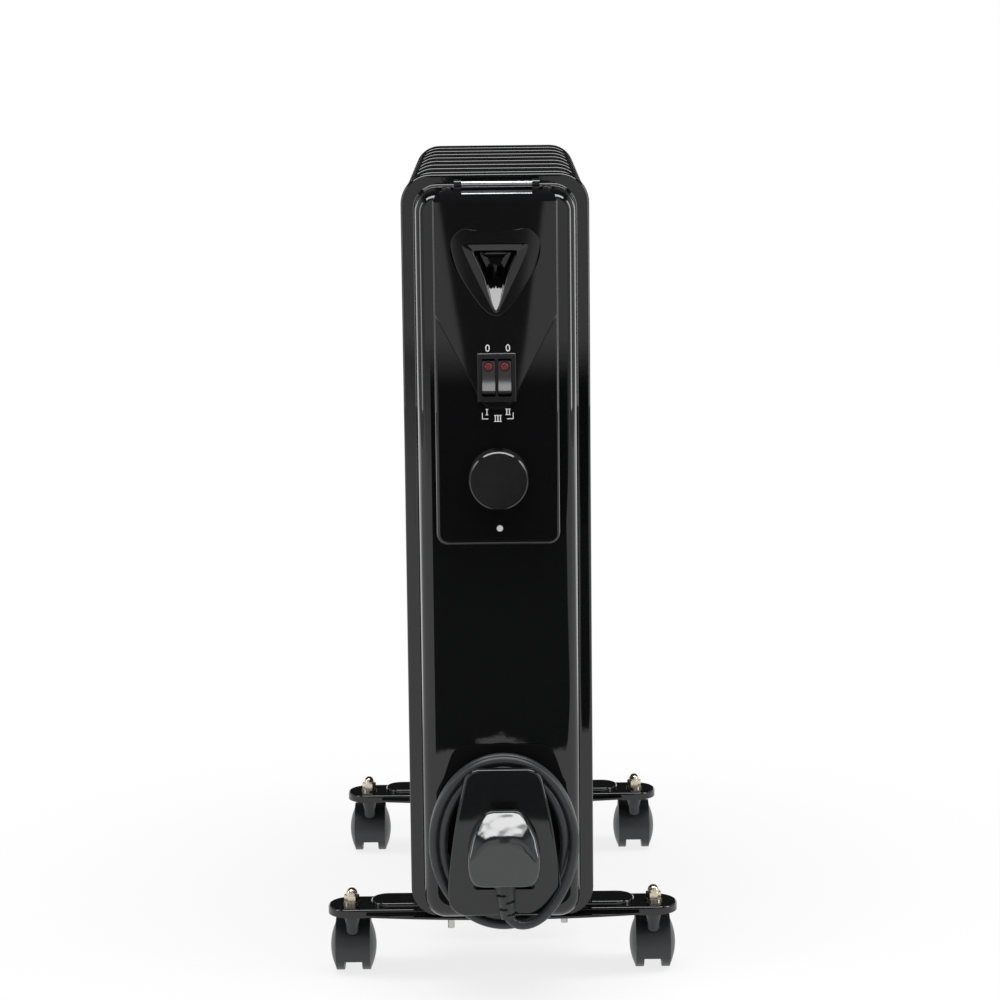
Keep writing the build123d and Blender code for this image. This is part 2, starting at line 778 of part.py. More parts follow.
with BuildPart() as thermostat_shaft:
    with BuildSketch(across(knob_front + knob_face_wall)):
        with Locations((knob_x, knob_z)):
            Circle(shaft_radius)
    extrude(amount=-(bush_front + bush_length + thermostat_depth - 4 - knob_front - knob_face_wall))
save(thermostat_shaft, "thermostat_shaft")

with BuildPart() as knob:
    with BuildSketch(Plane((knob_x, flange_y, knob_z), x_dir=(0, 1, 0), z_dir=(1, 0, 0))):
        with BuildLine():
            Polyline((knob_front, 0), (knob_front, knob_rim - knob_edge),
                     (knob_front + knob_edge, knob_rim), (knob_back, knob_radius),
                     (knob_back, knob_radius - knob_skirt_wall),
                     (knob_front + knob_face_wall, knob_rim - knob_skirt_wall),
                     (knob_front + knob_face_wall, knob_hub),
                     (knob_front + knob_face_wall + shaft_grip, knob_hub),
                     (knob_front + knob_face_wall + shaft_grip, 0), close=True)
        make_face()
    revolve(axis=Axis((knob_x, flange_y, knob_z), (0, 1, 0)))
    with BuildSketch(across(knob_front + knob_face_wall)):
        with Locations((knob_x, knob_z)):
            Circle(shaft_radius)
    extrude(amount=-knob_height, mode=Mode.SUBTRACT)
save(knob, "knob")


# ---------------------------------------------------------------- grip bar and outer screws
# A round steel bar across the cover's top, held at its ends by two moulded feet.
with BuildPart() as grip_bar:
    with BuildSketch(Plane.YZ.offset(grip_x - grip_bar_length / 2)):
        with Locations((flange_y + grip_bar_depth, grip_bar_z)):
            Circle(grip_bar_radius)
    extrude(amount=grip_bar_length)
    chamfer(grip_bar.edges().filter_by(GeomType.CIRCLE), 0.4)
save(grip_bar, "grip_bar")

with BuildPart() as grip_brackets:
    for way in (-1, 1):
        x = grip_x + way * grip_bar_length / 2
        with BuildSketch(Plane.YZ.offset(x + way * grip_foot_wall)):
            with Locations((flange_y + grip_bar_depth, grip_bar_z)):
                Circle(grip_bar_radius + grip_foot_wall)
            with Locations((flange_y + grip_bar_depth, grip_seat)):
                Rectangle(grip_foot_length, 2 * (grip_bar_rise + grip_foot_wall))
        extrude(amount=-way * (grip_foot_width + grip_foot_wall))
        with BuildSketch(Plane.YZ.offset(x)):
            with Locations((flange_y + grip_bar_depth, grip_bar_z)):
                Circle(grip_bar_radius)
        extrude(amount=-way * grip_bar_length / 2, mode=Mode.SUBTRACT)
    add(drawn_box(-0.05), mode=Mode.SUBTRACT)
save(grip_brackets, "grip_brackets")

screw_seat = grip_seat + top_screw_radius * tan(radians(box_draft)) + running
with BuildPart() as top_screws:
    with BuildSketch(level(screw_seat)):
        with Locations(*top_screw_places):
            Circle(top_screw_radius)
    extrude(amount=top_screw_head)
    fillet(top_screws.faces().group_by(Axis.Z)[-1].edges(), top_screw_head / 2)
    with BuildSketch(level(screw_seat)):
        with Locations(*top_screw_places):
            Circle(screw_radius)
    extrude(amount=-top_screw_length)
save(top_screws, "top_screws")


# Pan-head screws driven forward from inside the box: six hold the panel and two the cord hub.
with BuildPart() as cover_screws:
    for radius, length in ((screw_head_radius, -screw_head), (screw_radius, screw_length)):
        with BuildSketch(across(-box_depth + sheet)):
            with Locations(*[(x, z) for x in (-panel_screw_x, panel_screw_x) for z in panel_screw_z]):
                Circle(radius)
            with Locations(*[(dock_x, z) for z in hub_screw_z]):
                Circle(radius)
        extrude(amount=length)
save(cover_screws, "cover_screws")


# ---------------------------------------------------------------- cord hub and dock
# The lead is wound round an oval hub on the box's face, between a back plate and a dock plate.
# The dock plate's seat holds the plug, whose pins reach through it into the hollow hub.
hub_height = hub_top - hub_bottom
hub_middle = (hub_top + hub_bottom) / 2
plate_back = -box_depth - 0.1
plate_face = plate_back - back_plate_thickness
dock_back = dock_face + dock_plate
plug_waist = 116.0          # height where the plug is widest
plug_corner = 3.0
slot_centre = (20.5, back_plate_top - 18.7)
slot_radius = 9.6
slot_width = 5.2
slot_start = 28.0           # degrees
slot_sweep = 62.0
pin_z = plug_top - 13.4     # earth pin
hub_boss_wall = 1.7
coil_z = hub_top - coil_inner_half_height + 0.4
gland_x = dock_x + hub_radius + 4.8
gland_top = 130.0
gland_bottom = 110.0
gland_radius = 4.7


def oval(margin):
    """Outline of the hub, moved in by a margin."""
    with BuildSketch() as shape:
        with Locations((dock_x, hub_middle)):
            SlotOverall(hub_height - 2 * margin, 2 * (hub_radius - margin), rotation=90)
    return shape.sketch


with BuildPart() as cord_hub:
    with BuildSketch(across(plate_back)) as plate:
        with BuildLine():
            half = back_plate_half
            bend_z = 0.65 * back_plate_top + 0.35 * back_plate_waist
            top = Line((dock_x - back_plate_half_top, back_plate_top),
                       (dock_x + back_plate_half_top, back_plate_top))
            right = Spline(top @ 1, (dock_x + 0.84 * half, bend_z), (dock_x + half, back_plate_waist),
                           tangents=[(1, -0.25), (0, -1)])
            left = Spline(top @ 0, (dock_x - 0.84 * half, bend_z), (dock_x - half, back_plate_waist),
                          tangents=[(-1, -0.25), (0, -1)])
            Polyline(right @ 1, (dock_x + half, back_plate_bottom), (dock_x - half, back_plate_bottom), left @ 1)
        make_face()
        fillet(plate.vertices().group_by(Axis.Y)[0], back_plate_corner)
        SlotArc(CenterArc((dock_x + slot_centre[0], slot_centre[1]), slot_radius, slot_start, slot_sweep,
                          mode=Mode.PRIVATE), slot_width, mode=Mode.SUBTRACT)
        SlotArc(CenterArc((dock_x - slot_centre[0], slot_centre[1]), slot_radius, 180 - slot_start - slot_sweep,
                          slot_sweep, mode=Mode.PRIVATE), slot_width, mode=Mode.SUBTRACT)
    extrude(amount=back_plate_thickness)
    with BuildSketch(across(plate_face)):
        add(oval(0))
    extrude(amount=plate_face - dock_back)
    with BuildSketch(across(plate_face)):
        add(oval(hub_wall))
    extrude(amount=plate_face - dock_back, mode=Mode.SUBTRACT)
    with BuildSketch(across(plate_back)):
        with Locations(*[(dock_x, z) for z in hub_screw_z]):
            Circle(screw_radius + hub_boss_wall)
    extrude(amount=8)
    with BuildSketch(across(plate_back)):
        with Locations(*[(dock_x, z) for z in hub_screw_z]):
            Circle(screw_radius)
    extrude(amount=7, mode=Mode.SUBTRACT)
save(cord_hub, "cord_hub")

def plug_outline(margin):
    """Arched outline of the plug, moved out by a margin."""
    half, high, low = plug_half + margin, plug_top + margin, plug_bottom - margin
    with BuildSketch() as arch:
        with BuildLine():
            top = Line((dock_x, high), (dock_x + plug_half_top + margin, high))
            flank = Spline(top @ 1, (dock_x + 0.84 * half, plug_waist + 0.57 * (high - plug_waist)),
                           (dock_x + half, plug_waist), tangents=[(0.45, -1), (0, -1)])
            toe = Spline(flank @ 1, (dock_x + 0.87 * half, 0.75 * low + 0.25 * plug_waist),
                         (dock_x + 0.6 * half, low), tangents=[(0, -1), (-1, 0)])
            foot = Line(toe @ 1, (dock_x, low))
            mirror([top, flank, toe, foot], about=Plane.YZ.offset(dock_x))
        make_face()
        fillet(arch.vertices().group_by(Axis.Y)[-1], plug_corner)
    return arch.sketch


with BuildPart() as dock_shell:
    with BuildSketch(across(dock_back)) as outline:
        with BuildLine():
            top = Line((dock_x - dock_half_top, dock_top), (dock_x + dock_half_top, dock_top))
            flank_z = (dock_top + dock_waist) / 2
            right = ThreePointArc(top @ 1, (dock_x + 0.87 * dock_half_bottom, flank_z),
                                  (dock_x + dock_half_bottom, dock_waist))
            left = ThreePointArc(top @ 0, (dock_x - 0.87 * dock_half_bottom, flank_z),
                                 (dock_x - dock_half_bottom, dock_waist))
            Polyline(right @ 1, (dock_x + dock_half_bottom, dock_bottom), (dock_x - dock_half_bottom, dock_bottom),
                     left @ 1)
        make_face()
        fillet(outline.vertices().group_by(Axis.Y)[-1], dock_corner_top)
        fillet(outline.vertices().group_by(Axis.Y)[0], dock_corner_bottom)
    extrude(amount=dock_plate)
    fillet(dock_shell.faces().sort_by(Axis.Y)[0].edges(), dock_edge)
    with BuildSketch(across(dock_face + dock_seat)):
        add(plug_outline(dock_seat_gap))
    extrude(amount=2 * dock_seat, mode=Mode.SUBTRACT)
    with BuildSketch(across(dock_face + dock_bay_depth)):
        with BuildLine():
            notch_low, notch_high = plug_top - dock_notch_rise, plug_top + dock_notch_rise
            Polyline((dock_x - dock_notch_flare, notch_low), (dock_x - dock_notch_half, notch_high),
                     (dock_x + dock_notch_half, notch_high), (dock_x + dock_notch_flare, notch_low), close=True)
        make_face()
        with Locations((dock_x, plug_bottom)):
            RectangleRounded(2 * dock_bay_half, 2 * dock_bay_drop, dock_bay_corner)
    extrude(amount=2 * dock_bay_depth, mode=Mode.SUBTRACT)
    with BuildSketch(across(dock_back)):
        with Locations((dock_x, pin_z)):
            Rectangle(earth_pin[1] + pin_slot_clearance, earth_pin[0] + pin_slot_clearance)
        with Locations((dock_x - pin_spacing / 2, pin_z - pin_drop), (dock_x + pin_spacing / 2, pin_z - pin_drop)):
            Rectangle(line_pin[0] + pin_slot_clearance, line_pin[1] + pin_slot_clearance)
    extrude(amount=dock_plate, mode=Mode.SUBTRACT)
save(dock_shell, "dock_plate")

with BuildPart() as cord_gland:
    with BuildSketch(level(gland_bottom)):
        with Locations((gland_x, flange_y + (plate_face + dock_back) / 2)):
            Circle(gland_radius)
    extrude(amount=gland_top - gland_bottom)
    chamfer(cord_gland.faces().sort_by(Axis.Z)[0].edges(), 0.8)
save(cord_gland, "cord_gland")


# ---------------------------------------------------------------- plug
# A moulded three-pin plug lies face down in the dock, its lead leaving through the lower edge.
plug_back = dock_face + dock_seat - 0.1
plug_face = plug_back - plug_thickness
relief_depth = plug_back - plug_thickness / 2 + 1
relief_lean = 5.0           # degrees, to the right on its way down

with BuildPart() as plug_body:
    with BuildSketch(across(plug_back)):
        add(plug_outline(0))
    extrude(amount=plug_thickness)
    with BuildSketch(side(0)) as profile:
        with Locations(((plug_face + plug_back) / 2, (plug_top + plug_bottom) / 2)):
            Rectangle(plug_thickness, plug_top - plug_bottom)
        fillet(profile.vertices().sort_by(Axis.X)[:2].sort_by(Axis.Y)[-1], plug_dome)
        fillet(profile.vertices().sort_by(Axis.X)[:1], plug_foot)
    extrude(amount=2 * plug_half, both=True, mode=Mode.INTERSECT)
    for size, x, z in ((earth_pin, 0, pin_z), (line_pin, -pin_spacing / 2, pin_z - pin_drop),
                       (line_pin, pin_spacing / 2, pin_z - pin_drop)):
        with BuildSketch(across(plug_back)):
            with Locations((dock_x + x, z)):
                Rectangle(size[1] if x == 0 else size[0], size[0] if x == 0 else size[1])
        extrude(amount=6, mode=Mode.SUBTRACT)
save(plug_body, "plug_body")

with BuildPart() as plug_pins:
    for size, x, z in ((earth_pin, 0, pin_z), (line_pin, -pin_spacing / 2, pin_z - pin_drop),
                       (line_pin, pin_spacing / 2, pin_z - pin_drop)):
        with BuildSketch(across(plug_back - 6)):
            with Locations((dock_x + x, z)):
                Rectangle(size[1] if x == 0 else size[0], size[0] if x == 0 else size[1])
        extrude(amount=-6 - size[2])
save(plug_pins, "plug_pins")
relief_root = Plane((dock_x, flange_y + relief_depth, plug_bottom + 4), x_dir=(0, 1, 0),
                    z_dir=(sin(radians(relief_lean)), 0, -cos(radians(relief_lean))))
with BuildPart() as plug_strain_relief:
    with BuildSketch(relief_root):
        Circle(relief_top_radius)
    with BuildSketch(relief_root.offset(relief_length)):
        Circle(relief_end_radius)
    loft()
    add(plug_body.part, mode=Mode.SUBTRACT)
save(plug_strain_relief, "plug_strain_relief")


# ---------------------------------------------------------------- lead
# The wound part is one oval ring round the hub. The free part leaves the plug's strain relief,
# dips under the dock plate's corner, passes its edge and joins the ring on the right. A short
# tail joins the ring to the gland beside the hub.
with BuildPart() as cord_coil:
    with BuildSketch(across(-box_depth - coil_back)):
        with Locations((dock_x, coil_z)):
            Ellipse(coil_half_width, coil_half_height)
            Ellipse(coil_inner_half_width, coil_inner_half_height, mode=Mode.SUBTRACT)
    extrude(amount=coil_front - coil_back)
    fillet(cord_coil.edges().filter_by(Plane.XZ), 3)
save(cord_coil, "cord_coil")

first_run = 4.0
lead_points = [relief_root.offset(along).origin for along in (relief_length, relief_length + first_run)]
lead_points += [Vector(x, flange_y + depth, z) for x, depth, z in (
    (9.7, -72.9, 68.0), (18.6, -72.2, 67.9), (28.0, -71.3, 72.8), (36.5, -70.8, 82.6),
    (44.6, -68.2, 96.0), (49.4, -62.0, 109.5), (50.8, -57.0, 122.0))]


def lead_radii(points):
    """As large a bend at each corner as its two runs allow; an end run serves one corner only."""
    radii = []
    last = len(points) - 3
    for place, (before, corner, after) in enumerate(zip(points, points[1:], points[2:])):
        turn = (corner - before).get_angle(after - corner)
        run_in = (0.95 if place == 0 else 0.49) * (corner - before).length
        run_out = (0.95 if place == last else 0.49) * (after - corner).length
        radii.append(min(run_in, run_out) / tan(radians(turn / 2)))
    return radii


tail_length = 24.0
radii = lead_radii(lead_points)
with BuildPart() as cord_lead:
    with BuildLine():
        path = FilletPolyline(*lead_points, radius=radii)
    with BuildSketch(Plane(path @ 0, z_dir=path % 0)):
        Circle(cord_radius)
    sweep(path=path)
    with BuildSketch(level(gland_bottom)):
        with Locations((gland_x, flange_y + (plate_face + dock_back) / 2)):
            Circle(cord_radius)
    extrude(amount=-tail_length)
save(cord_lead, "cord_lead")
print("lead radii", [round(r, 1) for r in radii], "length", round(path.length, 1))


# ---------------------------------------------------------------- foot bars
# Two pressed channels across the radiator, one under its first gap and one under its last. Their
# lips carry the fins, and their rounded ends carry the casters.
foot_length = caster_spacing + 2 * foot_bar_half
foot_edge = 2.0
foot_skirt_bottom = foot_top - foot_pad_depth
foot_lip_bottom = foot_lip_top - foot_sheet
stem_hole = stem_radius + 0.2
rod_hole = hanger_rod + 0.4


def foot_bar(depth):
    """One foot bar, its middle at a depth behind the cover's flange."""
    y = flange_y + depth

    def channel(margin):
        with BuildPart() as form:
            with BuildSketch(level(foot_skirt_bottom)):
                with Locations((0, y)):
                    SlotOverall(foot_length - 2 * margin, 2 * (foot_bar_half - margin))
            extrude(amount=foot_pad_depth - margin)
            fillet(form.faces().sort_by(Axis.Z)[-1].edges(), foot_edge - margin / 2)
            with BuildSketch(level(foot_top - margin - 0.01)):
                with Locations((0, y)):
                    SlotOverall(2 * (ridge_end - margin), 2 * (ridge_half - margin))
            extrude(amount=ridge_rise + 0.01)
            fillet(form.faces().sort_by(Axis.Z)[-1].edges(), foot_edge - margin / 2)
        return form.part

    outside, inside = channel(0), channel(foot_sheet)
    with BuildPart() as bar:
        with BuildSketch(level(foot_lip_bottom)):
            with BuildLine():
                rear = ThreePointArc((-foot_pad_start, y + foot_lip_half_end), (0, y + foot_lip_half_mid),
                                     (foot_pad_start, y + foot_lip_half_end))
                front = ThreePointArc((-foot_pad_start, y - foot_lip_half_end), (0, y - foot_lip_half_mid),
                                      (foot_pad_start, y - foot_lip_half_end))
                Line(rear @ 0, front @ 0)
                Line(rear @ 1, front @ 1)
            make_face()
        extrude(amount=foot_sheet)
        add(outside)
        with BuildSketch(level(foot_skirt_bottom)):
            with Locations((0, y)):
                Rectangle(2 * foot_pad_start, 4 * foot_lip_half_mid)
        extrude(amount=foot_lip_bottom - foot_skirt_bottom, mode=Mode.SUBTRACT)
        add(inside, mode=Mode.SUBTRACT)
        with BuildSketch(level(foot_skirt_bottom)):
            with Locations((-caster_spacing / 2, y), (caster_spacing / 2, y)):
                Circle(stem_hole)
            with Locations(*[(x, y) for x in hanger_x]):
                Circle(rod_hole)
        extrude(amount=30, mode=Mode.SUBTRACT)
    return bar


feet = (foot_depth, foot_depth + foot_spacing)
for name, depth in zip(("front", "rear"), feet):
    save(foot_bar(depth), f"{name}_foot_bar")


# ---------------------------------------------------------------- hangers
# A square U-bolt sits over each end's lower header collar, and nuts under the foot bar's ridge
# draw the bar up against the fins.
hanger_corner = 11.0
hanger_top = header_low + header_radius + hanger_rod + gap
nut_top = foot_top + ridge_rise - foot_sheet - 0.05

with BuildPart() as hangers:
    for depth in feet:
        y = flange_y + depth
        left, right = hanger_x
        with BuildLine():
            rod = FilletPolyline((left, y, hanger_low[0]), (left, y, hanger_top), (right, y, hanger_top),
                                 (right, y, hanger_low[1]), radius=hanger_corner)
        with BuildSketch(Plane((left, y, hanger_low[0]))):
            Circle(hanger_rod)
        sweep(path=rod)
    with BuildSketch(level(nut_top)):
        with Locations(*[(x, flange_y + depth) for x in hanger_x for depth in feet]):
            RegularPolygon(hanger_nut_across / 2, 6, major_radius=False)
            Circle(hanger_rod + running, mode=Mode.SUBTRACT)
    extrude(amount=-hanger_nut_height)
save(hangers, "hangers")


# ---------------------------------------------------------------- casters
# Four twin-wheel casters. A hood over both wheels carries the axle in its web and turns freely on
# a steel stem, which a washer and a domed nut hold to the foot bar.
stem_top = foot_top + washer_thickness + cap_nut_height - cap_nut_wall
stem_bottom = socket_bottom + 0.5
stem_collar_height = 2.0
bar_underside = foot_top - foot_sheet
web_hub = 9.0
wheel_hub = 6.0
wheel_hollow = 15.0
wheel_hollow_depth = 4.0
wheel_rim = wheel_radius - 1.2
caster_places = {f"{end}_{hand}": (x, flange_y + depth)
                 for end, depth in zip(("front", "rear"), feet)
                 for hand, x in (("left", -caster_spacing / 2), ("right", caster_spacing / 2))}
stem_places = list(caster_places.values())

with BuildPart() as caster_stems:
    with BuildSketch(level(stem_bottom)):
        with Locations(*stem_places):
            Circle(stem_radius)
    extrude(amount=stem_top - stem_bottom)
    with BuildSketch(level(bar_underside - 0.05)):
        with Locations(*stem_places):
            Circle(stem_collar)
    extrude(amount=-stem_collar_height)
save(caster_stems, "caster_stems")

with BuildPart() as cap_nuts:
    nut_floor = foot_top + washer_thickness
    with BuildSketch(level(foot_top)):
        with Locations(*stem_places):
            Circle(washer_radius)
            Circle(stem_hole, mode=Mode.SUBTRACT)
    extrude(amount=washer_thickness - 0.02)
    with BuildSketch(level(nut_floor)):
        with Locations(*stem_places):
            RegularPolygon(cap_nut_across / 2, 6, major_radius=False)
    extrude(amount=cap_nut_hex)
    for x, y in stem_places:
        with BuildSketch(Plane((x, y, nut_floor), x_dir=(1, 0, 0), z_dir=(0, -1, 0))):
            with BuildLine():
                Line((0, cap_nut_hex - 0.5), (cap_nut_dome, cap_nut_hex - 0.5))
                Line((cap_nut_dome, cap_nut_hex - 0.5), (cap_nut_dome, cap_nut_height - cap_nut_dome))
                CenterArc((0, cap_nut_height - cap_nut_dome), cap_nut_dome, 0, 90)
                Line((0, cap_nut_height), (0, cap_nut_hex - 0.5))
            make_face()
        revolve(axis=Axis((x, y, 0), (0, 0, 1)))
    with BuildSketch(level(nut_floor)):
        with Locations(*stem_places):
            Circle(stem_radius)
    extrude(amount=stem_top - nut_floor, mode=Mode.SUBTRACT)
save(cap_nuts, "cap_nuts")


def hood(x, y):
    """Hood, web and stem socket of the caster that turns about the stem at (x, y)."""
    axle = Plane((x, y + caster_trail, wheel_radius), x_dir=(0, 1, 0), z_dir=(1, 0, 0))
    sweep_angle = hood_front_angle - hood_rear_angle

    def sector(radius):
        with BuildSketch() as part_disc:
            with BuildLine():
                arc = CenterArc((0, 0), radius, hood_rear_angle, sweep_angle)
                Line(arc @ 1, (0, 0))
                Line((0, 0), arc @ 0)
            make_face()
        return part_disc.sketch

    with BuildPart() as body:
        with BuildSketch(axle):
            add(sector(hood_outer))
        extrude(amount=hood_half, both=True)
        with BuildSketch(axle):
            Circle(wheel_radius + hood_gap)
        extrude(amount=hood_half, both=True, mode=Mode.SUBTRACT)
        with BuildSketch(axle):
            add(sector(hood_outer - 0.5))
            Circle(web_hub)
        extrude(amount=web_half, both=True)
        with BuildSketch(Plane((x, y, 0), x_dir=(1, 0, 0), z_dir=(0, -1, 0))) as outline:
            with BuildLine():
                Polyline((0, socket_tip), (socket_low_radius, socket_tip), (socket_low_radius, socket_bottom + 2),
                         (socket_top_radius, socket_top - 3), (socket_top_radius, socket_top), (0, socket_top),
                         close=True)
            make_face()
            fillet(outline.vertices().group_by(Axis.Y)[0].sort_by(Axis.X)[-1], 2.5)
            fillet(outline.vertices().group_by(Axis.Y)[-1].sort_by(Axis.X)[-1], 1)
        revolve(axis=Axis((x, y, 0), (0, 0, 1)))
        with BuildSketch(level(socket_bottom)):
            with Locations((x, y)):
                Circle(stem_radius + running)
        extrude(amount=20, mode=Mode.SUBTRACT)
        with BuildSketch(axle):
            Circle(axle_radius)
        extrude(amount=hood_half, both=True, mode=Mode.SUBTRACT)
    return body


def wheel(x, y, hand):
    """A wheel of the caster at (x, y), on its left (-1) or right (1) side."""
    dome_radius = (wheel_rim ** 2 + (wheel_dome - wheel_tread) ** 2) / (2 * (wheel_dome - wheel_tread))
    half_rim = wheel_rim / 2
    half_dome = wheel_dome - dome_radius + sqrt(dome_radius ** 2 - half_rim ** 2)
    place = Plane((x, y + caster_trail, wheel_radius), x_dir=(hand, 0, 0), z_dir=(0, -hand, 0))
    with BuildPart() as turned:
        with BuildSketch(place) as outline:
            with BuildLine():
                rim = Polyline((axle_reach + gap, 0), (axle_reach + gap, axle_radius + running),
                               (wheel_inner, axle_radius + running), (wheel_inner, wheel_hub),
                               (wheel_inner + wheel_hollow_depth, wheel_hub),
                               (wheel_inner + wheel_hollow_depth, wheel_hollow),
                               (wheel_inner, wheel_hollow), (wheel_inner, wheel_radius),
                               (wheel_tread, wheel_radius), (wheel_tread, wheel_rim))
                dome = ThreePointArc(rim @ 1, (half_dome, half_rim), (wheel_dome, 0))
                Line(dome @ 1, rim @ 0)
            make_face()
            fillet(outline.vertices().group_by(Axis.Y)[-1], wheel_edge / 2)
        revolve(axis=Axis((x, y + caster_trail, wheel_radius), (1, 0, 0)))
    return turned


for name, (x, y) in caster_places.items():
    save(hood(x, y), f"caster_hood_{name}")
    with BuildPart() as axle_pin:
        with BuildSketch(Plane.YZ.offset(x - axle_reach)):
            with Locations((y + caster_trail, wheel_radius)):
                Circle(axle_radius)
        extrude(amount=2 * axle_reach)
        chamfer(axle_pin.edges(), 0.3)
    save(axle_pin, f"caster_axle_{name}")
    for hand, word in ((-1, "left"), (1, "right")):
        save(wheel(x, y, hand), f"wheel_{name}_{word}")
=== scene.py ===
"""The looks of an oil filled radiator heater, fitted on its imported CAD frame. Metres, +Z up."""

import math

import bmesh
import bpy
from mathutils import Matrix, Vector


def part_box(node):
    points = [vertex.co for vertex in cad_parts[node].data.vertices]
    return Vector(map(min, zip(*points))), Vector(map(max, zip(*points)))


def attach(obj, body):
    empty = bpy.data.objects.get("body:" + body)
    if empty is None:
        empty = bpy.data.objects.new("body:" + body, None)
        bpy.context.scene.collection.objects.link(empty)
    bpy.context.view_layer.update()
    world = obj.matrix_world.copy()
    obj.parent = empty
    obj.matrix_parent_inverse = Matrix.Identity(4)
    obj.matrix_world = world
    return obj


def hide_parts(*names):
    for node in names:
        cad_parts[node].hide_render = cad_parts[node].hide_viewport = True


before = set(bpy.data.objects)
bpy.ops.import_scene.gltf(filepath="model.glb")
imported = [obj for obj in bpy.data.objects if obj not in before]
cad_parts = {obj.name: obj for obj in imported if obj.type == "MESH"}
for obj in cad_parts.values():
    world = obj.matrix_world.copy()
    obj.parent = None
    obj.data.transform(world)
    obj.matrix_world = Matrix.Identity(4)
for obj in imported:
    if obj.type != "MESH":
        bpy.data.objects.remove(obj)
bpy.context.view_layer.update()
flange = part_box("front_cover")[1][1] - 0.0055  # Y of the cover's flange, on which depths are based


# ---------------------------------------------------------------- camera
# A long lens a little over two metres off, raised above the heater and looking slightly down at
# its control end, almost square on, and tipped by half a degree.
lens = bpy.data.cameras.new("camera")
lens.lens = 108.77
lens.sensor_width = 36.0
camera = bpy.data.objects.new("camera", lens)
bpy.context.collection.objects.link(camera)
bpy.context.scene.camera = camera
look_down = Matrix.Rotation(math.pi / 2 - 0.17129, 4, "X") @ Matrix.Rotation(-0.011, 4, "Z")
camera.matrix_world = Matrix.Translation((0.00129, flange - 2.07945, 0.71318)) @ look_down


# ---------------------------------------------------------------- fins
# Nine fins, each pressed from two steel sheets that are seam welded round their oil channels and
# folded back along the edge. The welded body is dipped and stoved in black enamel, which dries to
# a thin deep gloss with a fine orange peel, and holds a little dust on the folds.
class Value:
    """A socket's value, wrapped so that sums on it add Math nodes to its finish."""

    def __init__(self, finish, socket):
        self.finish = finish
        self.socket = socket

    def combine(self, operation, *terms):
        return self.finish.node("ShaderNodeMath", {"operation": operation}, dict(enumerate(terms)))

    def __add__(self, other):
        return self.combine("ADD", self, other)

    def __radd__(self, other):
        return self.combine("ADD", other, self)

    def __sub__(self, other):
        return self.combine("SUBTRACT", self, other)

    def __mul__(self, other):
        return self.combine("MULTIPLY", self, other)

    def __rmul__(self, other):
        return self.combine("MULTIPLY", other, self)

    def __truediv__(self, other):
        return self.combine("DIVIDE", self, other)

    def __gt__(self, other):
        return self.combine("GREATER_THAN", self, other)

    def __lt__(self, other):
        return self.combine("LESS_THAN", self, other)

    def __pow__(self, other):
        return self.combine("POWER", self, other)


class Finish:
    """A procedural material on one Principled shader; the sockets given stay plain numbers."""

    def __init__(self, name, sockets):
        self.material = bpy.data.materials.new(name)
        self.material.use_nodes = True
        self.tree = self.material.node_tree
        self.shader = self.tree.nodes["Principled BSDF"]
        self.fill(self.shader, sockets)

    def fill(self, node, sockets):
        for key, value in sockets.items():
            socket = node.inputs[key]
            if isinstance(value, Value):
                self.tree.links.new(value.socket, socket)
            elif socket.type == "RGBA":
                socket.default_value = (*value[:3], 1.0)
            else:
                socket.default_value = value

    def node(self, kind, settings, sockets, output=0):
        node = self.tree.nodes.new(kind)
        for key, value in settings.items():
            if key == "stops":
                stops = node.color_ramp.elements
                while len(stops) < len(value):
                    stops.new(0.5)
                for stop, (place, colour) in zip(stops, value):
                    stop.position = place
                    stop.color = (*colour, 1.0)
            else:
                setattr(node, key, value)
        self.fill(node, sockets)
        return Value(self, node.outputs[output])

    def wear(self, sockets):
        self.fill(self.shader, sockets)


def place_on(finish):
    return finish.node("ShaderNodeTexCoord", {}, {}, "Object")


def cloud(finish, scale, detail=2.0, roughness=0.5, stretch=(1.0, 1.0, 1.0)):
    """Noise from 0 to 1 in the piece's own frame; scale is in patches per metre."""
    where = finish.node(
        "ShaderNodeMapping", {}, {"Vector": place_on(finish), "Scale": stretch})
    return finish.node(
        "ShaderNodeTexNoise", {},
        {"Vector": where, "Scale": scale, "Detail": detail, "Roughness": roughness})


def facing_up(finish):
    """1 where the surface lies level and faces up, 0 on walls."""
    normal = finish.node("ShaderNodeNewGeometry", {}, {}, "Normal")
    upward = finish.node("ShaderNodeSeparateXYZ", {}, {"Vector": normal}, "Z")
    return finish.node(
        "ShaderNodeMapRange", {}, {"Value": upward, "From Min": 0.55, "From Max": 1.0})


def tint(finish, mask, plain, marked):
    """The plain colour, turning to the marked one with the mask."""
    return finish.node(
        "ShaderNodeMix", {"data_type": "RGBA"}, {0: mask, 6: plain, 7: marked}, 2)


def bumps(finish, height, distance, strength=1.0):
    return finish.node(
        "ShaderNodeBump", {}, {"Strength": strength, "Distance": distance, "Height": height})


def enamel(name, peel, wave, dust):
    """Black stoving enamel: peel and wave are the heights of its ripple and of the sheet's own."""
    finish = Finish(name, {"IOR": 1.56})
    settled = facing_up(finish) * (cloud(finish, 900.0, 4.0, 0.7) > 0.56) * dust
    film = cloud(finish, 14.0, 3.0)
    peeling = cloud(finish, 420.0, 1.0)
    sheet_wave = cloud(finish, 9.0, 1.0)
    finish.wear({
        "Base Color": tint(finish, settled, (0.0032, 0.0034, 0.0036), (0.03, 0.03, 0.029)),
        "Roughness": 0.014 + 0.016 * film + 0.2 * settled,
        "Normal": bumps(finish, peeling * peel + sheet_wave * wave, 1.0),
    })
    return finish


def dress(finish, *nodes):
    """Puts a finish on CAD nodes that keep their own shape."""
    for node in nodes:
        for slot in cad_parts[node].material_slots:
            slot.material = finish.material


